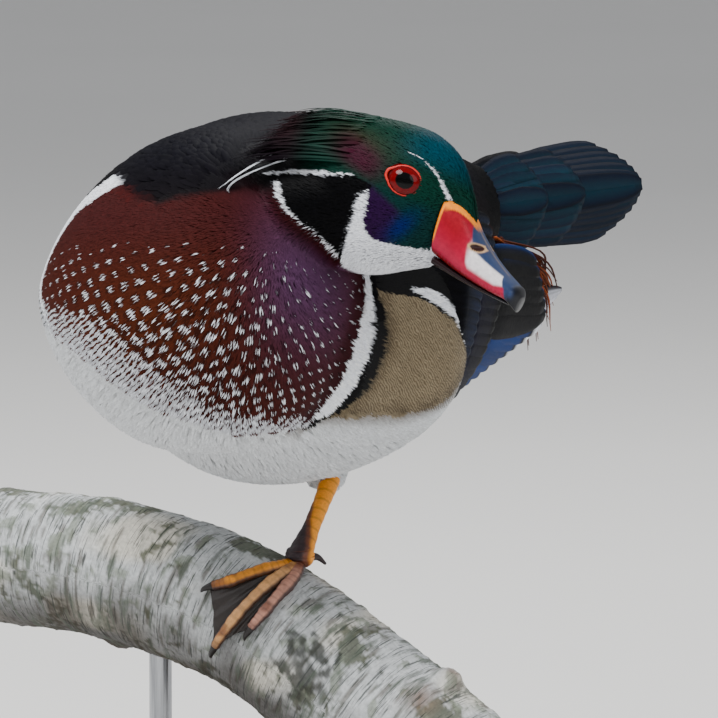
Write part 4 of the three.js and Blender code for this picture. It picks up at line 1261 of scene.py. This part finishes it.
# Rows of tail feathers: name, how many each side, length, how much shorter outwards, half width, lift, step
TAIL_ROWS = [
    ("rectrix", 6, 124, 20, 7.5, 2, 1.0),
    ("upper", 5, 78, 12, 6.5, 6.4, 0.9),
    ("short", 5, 50, 10, 6.5, 8.2, 0.8),
    ("under", 5, 76, 12, 7, -5.4, 0.9),
]
TAIL_BLUE = srgb(20, 25, 42)
TAIL_GREEN = srgb(18, 54, 66)
TAIL_CELLS = 7
tail_shape = Shape()
tail_cells = [(i, j) for j in range(TAIL_CELLS) for i in range(TAIL_CELLS)]
for kind, count, length, shorten, half, lift, gap in TAIL_ROWS:
    for n in range(count):
        for side in (-1, 1):
            offset = side * (n + 0.5) / count
            long = length - shorten * offset**2
            high = lift - gap * n

            def line(s, offset=offset, long=long, high=high):
                x = mixed(7 * offset, 15 * offset, s)
                z = mixed(high, high - 1.5 * offset**2, s) + 0 * x
                return tail.out(np.stack([x, long * s, z], 1))

            def flat_side(s, side=side):
                return np.tile(TAIL_TURN @ unit(np.array([1, 0, -0.25 * side])), (len(s), 1))

            def flat_up(s, side=side):
                return np.tile(TAIL_TURN @ unit(np.array([0.25 * side, 0, 1])), (len(s), 1))

            def width(s, half=half):
                return half * mixed(0.5, 1, np.minimum(1, 1.6 * s)) * np.sqrt(1 - (0.975 * s) ** 9)

            tone = 1 + 0.12 * rng.standard_normal()

            def tint(s, c, p, kind=kind, tone=tone):
                t = np.tile(SOOT if kind == "under" else TAIL_BLUE, (len(s), 1))
                t = lay(t, TAIL_GREEN, 0.6 * step(0.95, 0.2, np.abs(c)) * step(0.2, 0.5, s))
                return lay(t, JET, 0.6 * step(0.85, 1, np.abs(c))) * tone

            i, j = tail_cells.pop(0)
            vane(tail_shape, line, flat_side, flat_up, width, tint, (i, j, TAIL_CELLS), 22, 0.9)
tail_shape.piece("tail_feathers", "tail_plumage", vane_finish, ("tail",))


# Rump plumes: thin orange hair-like feathers at each side of the tail's root
RUMP_PLUMES = 130
plume_shape = Shape()
for n in range(RUMP_PLUMES):
    side = 1 if n % 2 else -1
    jitter = rng.standard_normal(3)
    root = np.array([side * 30, 138, 20 if side < 0 else 16]) + jitter * [1.5, 5, 3.5]
    tip = np.array([side * 34, 186, 2 if side < 0 else -9]) + rng.standard_normal(3) * [1.5, 5, 7]
    bend = spline([body.out(root), body.out((root + tip) / 2 + [side * 7, 0, 5]), body.out(tip)])
    points, faces = tube(bend, lambda t: 0.85 * (1 - t) + 0.12, 5, 12, 0.5)
    share = rng.uniform(0, 1)
    tint = mixed(MAROON, RUST, 2 * share) if share < 0.5 else mixed(RUST, ORANGE, 2 * share - 1)
    plume_shape.add(points, faces, tint)
plume_shape.piece("rump_plumes", "body_plumage", down)


# Crest: fine locks that fall from the back of the head
CREST_LOCKS = 720
CREST_BROWN = srgb(38, 20, 24)
CREST_BLACK = srgb(14, 8, 14)
core = spline([(-14, 0, 5), (-32, -1, 0), (-43, -4, -8), (-48, -7, -16)])
core_points, core_faces = tube(lambda t: head.out(core(t)), lambda t: 9 - 6 * t, 28, 26, 0.62)
# Tips of the highest and the lowest locks of a side, in the head's frame for its right side
TIP_HIGH, TIP_LOW = np.array([-46, -8, 1.5]), np.array([-53, -21.5, -19])
# Two thin white plumes over the crest of the head's right side: roots, middles and tips
PLUME_STRANDS = 16
PLUMES = np.array([
    [[-41.5, -12.5, -7], [-50.4, -21.6, -22.4], [-54.2, -24.4, -31.8]],
    [[-40.5, -13.5, -12], [-49.9, -21.7, -24.1], [-51.2, -24.2, -30.3]],
])


def crest_colour(p, share):
    c = head_colour(p)
    rear = step(-34, -50, p[:, 0] + 0.5 * p[:, 2])
    deep = lay(np.tile(CREST_BLACK, (len(p), 1)), CREST_BROWN, step(-14, 2, p[:, 2]))
    return lay(c, deep, np.maximum(rear, 0.35 * share))


def plume_colour(p, share):
    return np.tile(SNOW, (len(p), 1))


def clear_of_coat(points):
    """The points, moved out to lie on the coat where they were inside it."""
    at, out = drop_on(points)
    depth = ((points - at) * out).sum(1)
    coat_here = mixed(COAT + 0.6, HEAD_COAT, head_share(at))
    return points + out * np.maximum(0, coat_here - depth)[:, None]


LOCK_ROWS, LOCK_SIDES, LOCK_CELLS = 10, 4, 28


def crest_lock(shape, number, root, middle, tip, half, tone, colour):
    s = np.linspace(0, 1, LOCK_ROWS)[:, None]
    line = clear_of_coat(head.out(root * (1 - s) ** 2 + 2 * middle * s * (1 - s) + tip * s**2))
    line[0] = head.out(root)
    ahead = unit(np.gradient(line, axis=0))
    outward = unit(line - head.out([-24, 0, -12]))
    across = unit(np.cross(ahead, outward))
    half = half * mixed(1, 0.18, s[:, 0] ** 2)
    points = lines_round(line, across, np.cross(across, ahead), half, half * 0.4, LOCK_SIDES)
    share = np.repeat(s[:, 0], LOCK_SIDES)
    tints = colour(head.into(points.reshape(-1, 3)), share) * tone
    cell = np.array([number % LOCK_CELLS, number // LOCK_CELLS])
    in_cell = np.stack([np.tile(np.arange(LOCK_SIDES) / LOCK_SIDES, LOCK_ROWS), share], 1)
    spot = (cell + 0.1 + 0.8 * in_cell) / LOCK_CELLS
    shape.add(points, rings(LOCK_ROWS, LOCK_SIDES), tints, OFBake=spot)


crest_shape = Shape()
core_flat = head.into(core_points.reshape(-1, 3))
# The core under the locks is painted at 0.6 of the crest's colour: painted shade among the locks
core_tint = crest_colour(core_flat, 0 * core_flat[:, 0]) * 0.6
crest_shape.add(core_points, core_faces, core_tint, OFBake=np.full((len(core_flat), 2), 0.998))
for n in range(CREST_LOCKS):
    side = 1 if n % 2 else -1
    low, back = rng.uniform(0, 1) ** 0.9, rng.uniform(0, 1)
    x, angle = mixed(-17, -43, back), math.radians(mixed(90, 22, low))
    root = head_point(np.array([x]), np.array([angle]), -1.6)[0] * [1, side, 1]
    jitter = rng.standard_normal(3)
    tip = mixed(TIP_HIGH, TIP_LOW, low) * [1, -side, 1] + jitter * [1.6, 1.3, 1.5]
    tip = mixed(tip, root, 0.25 * (1 - back) * rng.uniform(0, 1))
    bow = np.array([-1.5, side * mixed(1, 2.5, low), mixed(4.8, 2.5, low)]) * mixed(1, 0.5, back)
    tone = 1 + 0.18 * rng.standard_normal()
    crest_lock(crest_shape, n, root, (root + tip) / 2 + bow, tip, 0.52, max(0.5, tone), crest_colour)
for n in range(PLUME_STRANDS):
    side = 1 if n % 2 else -1
    root, middle, tip = PLUMES[n // 2 % 2] * [1, -side, 1] + rng.standard_normal((3, 3)) * 0.25
    swing = side * np.array([0, 0.9, 0])
    middle = 2 * middle - (root + tip) / 2 + swing
    crest_lock(crest_shape, CREST_LOCKS + n, root, middle, tip + swing, 0.42, 1.0, plume_colour)
crest_piece = crest_shape.piece("crest_locks", "head_plumage", gloss_feather, ("crest",))
# The locks are shaded as one soft surface, with a little of each lock's own roundness
locks = crest_piece.data
lock_points, lock_facing = np.zeros((2, 3 * len(locks.vertices)))
locks.vertices.foreach_get("co", lock_points)
locks.vertices.foreach_get("normal", lock_facing)
outward = unit(lock_points.reshape(-1, 3) / MM - head.out([-26, 0, -14]))
locks.normals_split_custom_set_from_vertices(unit(outward + 0.4 * lock_facing.reshape(-1, 3)).tolist())


# Legs and feet: the solids made smooth and scaly
LEG_YELLOW = srgb(234, 146, 10)
LEG_BROWN = srgb(96, 44, 14)
LEG_PALE_HIGHLIGHT = srgb(206, 150, 92)
LEG_LILAC = srgb(176, 124, 104)
WEB_DARK = srgb(30, 21, 17)
LEG_DARK = srgb(36, 16, 22)
CLAW_DARK = srgb(20, 14, 13)
ANKLE = np.array([14.2, 40, -92.2])
PERCH_LINE = [(-112, -101), (-57, -104), (-8, -117), (35, -141), (60, -157), (82, -173)]
PERCH_RADIUS = 25.5
perch_path = spline([(x, PERCH_Y, z) for x, z in PERCH_LINE])


def perch_point(along, degrees, lift):
    """Places on the branch: how far along it, and how far round it from its side."""
    along, degrees = np.broadcast_arrays(np.asarray(along, float), degrees)
    p, ahead = perch_path(along), unit(perch_path(along + 0.001) - perch_path(along - 0.001))
    sideways = unit(np.cross(ahead, [0, 0, 1.0]))
    upward = np.cross(sideways, ahead)
    a = np.radians(degrees)[..., None]
    reach = (PERCH_RADIUS + mixed(-1, 1.5, along) + lift)[..., None]
    return p + reach * (np.cos(a) * sideways + np.sin(a) * upward)


def leg_tint(points):
    side = (points - BREAST) @ RIGHT - 37.3 - 0.06 * ((points - BREAST) @ UP + 80)
    side = side + noise(points, 5, 81)
    c = np.tile(LEG_YELLOW, (len(points), 1))
    c = lay(c, LEG_BROWN, step(0.5, -1.2, side))
    c = lay(c, LEG_DARK, step(-1.6, -2.8, side))
    return lay(c, LEG_DARK, 0.8 * step(4.8, 5.6, side) * step(-78, -88, (points - BREAST) @ UP))


leg_line = spline([HEEL + [-2.2, 10, 9], HEEL, mixed(HEEL, ANKLE, 0.5) + [0.3, 0, 0], ANKLE + [0, -1, -1.5]])
LEG_ROWS, LEG_SIDES = 110, 40
LEG_RADIUS = [(0, 3.2), (0.25, 3.5), (0.45, 3.0), (0.7, 3.0), (0.92, 4.3), (1, 3.8)]
leg_points, leg_faces = tube(
    lambda t: BREAST + leg_line(t), lambda t: through(LEG_RADIUS, t), LEG_SIDES, LEG_ROWS, 0.85,
)
leg_middle = leg_points.mean(1, keepdims=True)
scutes = np.abs(np.sin(np.linspace(0, 34, LEG_ROWS)))
leg_points = leg_middle + (leg_points - leg_middle) * (1 + 0.05 * scutes)[:, None, None]
scute_lines = 1 - 0.3 * (scutes < 0.25)
leg_tints = leg_tint(leg_points.reshape(-1, 3)) * np.repeat(scute_lines, LEG_SIDES)[:, None]
Shape().add(leg_points, leg_faces, leg_tints).piece("tarsus_left", "leg_skin", scale_skin, ("shin_left",))

# Toes lie round the branch: rows of places along the branch and degrees round it, from the ball to the tip
FOOT_AT = (0.545, 84)
TOES = [
    [FOOT_AT, (0.53, 66), (0.497, 40), (0.468, 27)],
    [FOOT_AT, (0.546, 62), (0.535, 22), (0.518, -14)],
    [FOOT_AT, (0.563, 64), (0.568, 36), (0.564, 14)],
]
# The middle toe's pale tint is a painted highlight
TOE_TINTS = [LEG_YELLOW * 0.85, LEG_PALE_HIGHLIGHT * 0.9, LEG_LILAC]
TOE_LIFT = 2.6


def toe_place(toe, s):
    return smooth([[k / 3, *place] for k, place in enumerate(TOES[toe])])(s)


def toe_radius(s):
    knuckles = 0.35 * np.exp(-(((s - 0.42) / 0.06) ** 2)) + 0.35 * np.exp(-(((s - 0.72) / 0.06) ** 2))
    return mixed(2.7, 1.7, s) + knuckles - 1.0 * step(0.94, 1, s)


TOE_ROWS, TOE_SIDES = 70, 26
foot = Shape()
for toe, tone in enumerate(TOE_TINTS):
    s = np.linspace(0, 1, TOE_ROWS)
    along, degrees = toe_place(toe, s).T
    centre = perch_point(along, degrees, TOE_LIFT)
    ahead = unit(np.gradient(centre, axis=0))
    outward = unit(perch_point(along, degrees, 9) - centre)
    sideways = unit(np.cross(ahead, outward))
    upward = np.cross(sideways, ahead)
    points = lines_round(centre, sideways, upward, toe_radius(s), toe_radius(s) * 0.82, TOE_SIDES)
    scales = np.sin(s * 95)
    points = centre[:, None] + (points - centre[:, None]) * (1 + 0.035 * scales)[:, None, None]
    flat = points.reshape(-1, 3)
    tints = np.tile(tone, (len(flat), 1)) * (0.9 + 0.25 * noise(flat, 1.6, 85))[:, None]
    tints = lay(tints, LEG_BROWN, 0.7 * step(0.1, 0.6, noise(flat, 5, 86)))
    towards_web = np.abs(np.cos(full_turn(TOE_SIDES)))
    tints = lay(tints, LEG_DARK, 0.9 * np.tile(step(0.62, 0.84, towards_web), TOE_ROWS))
    tints = lay(tints, LEG_DARK, 0.8 * np.repeat(step(0.12, 0.0, s) + step(0.86, 1, s), TOE_SIDES))
    tints = tints * (1 - 0.3 * np.repeat(scales < -0.75, TOE_SIDES))[:, None]
    foot.add(BREAST + points, rings(TOE_ROWS, TOE_SIDES), tints)
    tip, forward, lifted = centre[-1], ahead[-1], outward[-1]
    claw = spline([centre[-4], tip + forward * 2.4 - lifted * 0.4, tip + forward * 4 - lifted * 2.2])
    foot.add(*tube(lambda t: BREAST + claw(t), lambda t: 1.35 * (1 - t) ** 0.7 + 0.12, 16, 14), CLAW_DARK)
WEB_ROWS, WEB_COLUMNS = 60, 28
for left, right, reach in ((0, 1, 1.0), (1, 2, 0.98)):
    s, w = np.meshgrid(np.linspace(0.06, 1, WEB_ROWS), np.linspace(0, 1, WEB_COLUMNS), indexing="ij")
    edge = s * (reach - 0.05 * np.sin(math.pi * w))
    place = mixed(toe_place(left, edge), toe_place(right, edge), w[..., None])
    folds = 0.35 * np.sin(w * 19 + 3 * s) * np.sin(math.pi * w)
    top = perch_point(place[..., 0], place[..., 1], 2.2 + folds)
    under = perch_point(place[..., 0], place[..., 1], 1.2 + folds)[:, ::-1]
    web = np.concatenate([top, under], 1)[:, ::-1].reshape(-1, 3)
    tints = np.tile(WEB_DARK, (len(web), 1)) * (1 + 0.35 * noise(web, 1.4, 84))[:, None]
    foot.add(BREAST + web, rings(WEB_ROWS, 2 * WEB_COLUMNS), tints)
ball = perch_point(*FOOT_AT, 4.2)
ball_line = spline([ANKLE + [0, 0, 2], mixed(ANKLE, ball, 0.6), ball + [0.4, -1.5, -1.2]])
points, faces = tube(
    lambda t: BREAST + ball_line(t), lambda t: 4.2 + 0.9 * math.sin(math.pi * t) - 1.2 * t**4, 34, 26,
)
points = points.reshape(-1, 3)
scales = 0.3 * np.abs(noise(points, 1.2, 110)) ** 0.5
points = points + unit(points - BREAST - ball) * scales[:, None]
foot.add(points, faces, leg_tint(points))
hind = spline([ball + [0.5, 2, 0.5], ball + [3, 6.5, 0.5], ball + [4.6, 9.8, -2.2]])
foot.add(*tube(lambda t: BREAST + hind(t), lambda t: 2.0 - 1.5 * t, 20, 26), LEG_DARK)
foot.piece("toes_left", "leg_skin", scale_skin, ("foot_left",))


def tucked_tint(points):
    c = np.tile(mixed(LEG_YELLOW, LEG_BROWN, 0.5), (len(points), 1))
    c = lay(c, WEB_DARK, 0.8 * step(-0.1, 0.4, noise(points, 4, 87)))
    return c * (0.85 + 0.2 * noise(points, 1.5, 88))[:, None]


for name, solid in (("tarsus_right", "shin_right"), ("toes_right", "foot_right")):
    leg = linked(name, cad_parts[solid].data.copy())
    leg_points = remeshed(leg, 0.6, 14)
    paint(leg.data, tucked_tint(leg_points))
    leg.data.materials.clear()
    leg.data.materials.append(scale_skin)
    finished(leg, (solid,))


# Perch: a birch branch with knots and ridges
streaked(bark, srgb(48, 52, 50), 0.8, 1.3, 0.07, 0.54, 0.62)
streaked(bark, srgb(80, 88, 78), 0.7, 0.32, 0.05, 0.52, 0.64)
# Knots: how far along, how far round, how high and how wide
KNOTS = [(0.86, 0.9, 4.5, 9), (0.24, -1.9, 6, 9), (0.855, 1.55, 6.0, 4.6)]
ROWS, SIDES, DISCS = 230, 170, 22
BRANCH_LENGTH = 205
BARK_PALE = srgb(190, 193, 194)
BARK_WARM = srgb(206, 202, 190)
BARK_GREY = srgb(96, 92, 84)
LICHEN = srgb(78, 82, 62)
FLAKE = srgb(124, 132, 116)
CRUST = srgb(44, 46, 40)
BARK_UNDER_SHADE = srgb(58, 50, 44)
KNOT_BROWN = srgb(104, 78, 58)
WOOD = srgb(178, 140, 96)
RIND = srgb(70, 54, 42)
CRUST_AT = np.array([28, PERCH_Y - 24, -128])
along = np.linspace(0, 1, ROWS)
p = perch_path(along)
ahead = unit(np.gradient(p, axis=0))
sideways = unit(np.cross(ahead, [0, 0, 1.0]))
upward = np.cross(sideways, ahead)
spin = full_turn(SIDES)
radius = (PERCH_RADIUS + mixed(-1, 1.5, along))[:, None] * np.ones(SIDES)
knotty = np.zeros((ROWS, SIDES))
for at, turn, high, wide in KNOTS:
    off = np.abs((spin - turn + math.pi) % (2 * math.pi) - math.pi) * PERCH_RADIUS
    gap = np.sqrt(off[None] ** 2 + ((along - at) * BRANCH_LENGTH)[:, None] ** 2)
    radius = radius + high * np.exp(-((gap / wide) ** 2)) - 0.5 * high * np.exp(-((3 * gap / wide) ** 2))
    knotty = np.maximum(knotty, np.exp(-((1.6 * gap / wide) ** 2)))
facing_out = np.cos(spin)[None, :, None] * sideways[:, None] + np.sin(spin)[None, :, None] * upward[:, None]
surface = p[:, None] + radius[..., None] * facing_out
flat_surface = surface.reshape(-1, 3)
lengthways = (along * BRANCH_LENGTH)[:, None] * np.ones(SIDES)
streak_at = np.stack([lengthways.ravel(), *(0.12 * surface[..., 1:].reshape(-1, 2)).T], 1)
rough = 0.45 * noise(flat_surface, 9, 91) + 0.3 * noise(streak_at, 1.6, 92)
rough = rough + 0.25 * noise(flat_surface, 1.4, 93)
flakes = step(0.35, 0.6, noise(flat_surface, 5, 94) + 0.4 * noise(flat_surface, 1.3, 95))
relief = (rough + 0.5 * flakes) * 0.8 - 0.6
surface = surface + relief.reshape(ROWS, SIDES)[..., None] * facing_out
lichen = 0.22 * step(-10, -90, flat_surface[:, 0]) + noise(flat_surface, 13, 98)
lichen = lichen + 0.5 * noise(flat_surface, 3.2, 100) + 0.3 * noise(flat_surface, 1.2, 101)
crust = np.exp(-((np.linalg.norm(flat_surface - CRUST_AT, axis=1) / 15) ** 2))
crust = crust + 0.5 * noise(flat_surface, 2.2, 104)
# The branch's underside is painted darker brown: painted shade
turned_up = facing_out[..., 2].ravel() + 0.5 * noise(flat_surface, 12, 99)
bark_tint = np.tile(BARK_PALE, (ROWS * SIDES, 1))
for tint, share in (
    (BARK_WARM, step(0.0, 0.6, noise(flat_surface, 14, 96))),
    (BARK_GREY, 0.75 * step(0.35, 0.6, noise(streak_at, 1.1, 97))),
    (LICHEN, 0.85 * step(0.32, 0.62, lichen)),
    (FLAKE, 0.7 * flakes),
    (CRUST, 0.85 * step(0.5, 0.85, crust)),
    (BARK_UNDER_SHADE, 0.8 * step(0.3, -0.9, turned_up)),
    (KNOT_BROWN, 0.8 * knotty.ravel()),
):
    bark_tint = lay(bark_tint, tint, share)
bark_tint = bark_tint * (0.9 + 0.16 * noise(flat_surface, 0.9, 90))[:, None]
bark_map = np.stack([lengthways, spin * PERCH_RADIUS * np.ones((ROWS, 1))], -1)
perch_shape = Shape().add(BREAST + surface, [rings(ROWS, SIDES)[0][:, ::-1]], bark_tint, Bark=bark_map)
for row, flip in ((0, 1), (ROWS - 1, -1)):
    discs = np.linspace(1, 0.01, DISCS)
    spokes = (p[row] + discs[:, None, None] * (surface[row] - p[row])[None]).reshape(-1, 3)
    growth = noise(spokes, 3, 89) * 0.4 + np.sin(np.repeat(discs, SIDES) * 60)
    wood = np.tile(WOOD, (len(spokes), 1)) * (0.85 + 0.12 * growth)[:, None]
    wood = lay(wood, RIND, np.repeat(discs > 0.93, SIDES))
    walls, _, cap = rings(DISCS, SIDES)
    no_bark = np.full((len(spokes), 2), -500.0)
    perch_shape.add(BREAST + spokes, [walls[:, ::flip], cap[:, ::flip]], wood, Bark=no_bark)
perch_shape.piece("birch_branch", "birch_bark", bark, ("perch",))


# Stand: a stained wooden base and brushed steel rods, with the solids' own shapes
stained = grained("stained_wood", srgb(36, 24, 18), srgb(82, 56, 40), (0.6, 9, 9), 0.4, Coat_Weight=0.2)
steel = grained("brushed_rod", srgb(140, 142, 146), srgb(182, 184, 188), (12, 12, 0.6), 0.32, Metallic=1.0)
for solid, finish in (("stand_base", stained), ("stand_rod_left", steel), ("stand_rod_right", steel)):
    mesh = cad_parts[solid].data
    mesh.materials.clear()
    mesh.materials.append(finish)


# Stage: a pale floor that rises into a rim, soft lights and the camera of the photograph
FLOOR_RADIUS = 9.5
RIM_START = 7.5
FLOOR_SIDES = 96
FLOOR_PALE = srgb(226, 225, 222)
reach = np.concatenate([[0.001, 0.5, 2, 5], np.linspace(RIM_START, FLOOR_RADIUS, 14)]) / MM
rise = np.maximum(0, reach * MM - RIM_START) ** 2 * 0.9 / MM
spin = full_turn(FLOOR_SIDES)
heights = (rise - 0.5)[:, None] * np.ones(FLOOR_SIDES)
floor_points = np.stack([reach[:, None] * np.cos(spin), reach[:, None] * np.sin(spin), heights], -1)
pale = shader("pale_floor", 0.9, 3, 0.0, vary=0.01, Specular_IOR_Level=0.1)
floor = Shape().add(floor_points, rings(len(reach), FLOOR_SIDES)[:1], FLOOR_PALE).thing("floor", pale)


def aimed(thing, at, back):
    """Puts a lamp or the camera at a place in metres, with its back turned that way."""
    thing.location = Vector(at)
    thing.rotation_mode = "QUATERNION"
    thing.rotation_quaternion = Vector(-back).to_track_quat("-Z", "Y")


CAMERA_AWAY = 3000
PHOTO_SIDE = 718
BREAST_PIXEL = np.array([205, 300])
PIXELS_PER_MM = 2.9
SENSOR = 36
off = (PHOTO_SIDE / 2 - BREAST_PIXEL) / PIXELS_PER_MM
camera_at = BREAST + CAMERA_AWAY * SIGHT
aim = BREAST + off[0] * RIGHT - off[1] * UP
camera_data = bpy.data.cameras.new("photo_camera")
camera_data.sensor_width = SENSOR
camera_data.lens = PIXELS_PER_MM * CAMERA_AWAY * SENSOR / PHOTO_SIDE
camera_data.clip_start, camera_data.clip_end = 0.1, 30
camera = linked("photo_camera", camera_data)
aimed(camera, camera_at * MM, (camera_at - aim) * MM)
bpy.context.scene.camera = camera

# Lights: how far round from the camera, how high, how far away, size and power
LAMPS = [
    ("key", -38, 55, 1.7, 0.9, 42),
    ("fill", 48, 24, 2.0, 1.4, 12),
    ("back", 165, 50, 1.8, 0.9, 20),
    ("left", -110, 30, 1.9, 1.0, 7),
]
for name, turn, high, far, size, power in LAMPS:
    lamp = bpy.data.lights.new(name, "AREA")
    lamp.shape = "DISK"
    lamp.size = size
    lamp.energy = power
    way = towards(AZIMUTH + turn, high)
    aimed(linked(name, lamp), aim * MM + way * far, way)
world = bpy.data.worlds.new("studio")
world.use_nodes = True
background = world.node_tree.nodes["Background"]
background.inputs["Color"].default_value = (0.93, 0.95, 1.0, 1)
background.inputs["Strength"].default_value = 0.5
bpy.context.scene.world = world
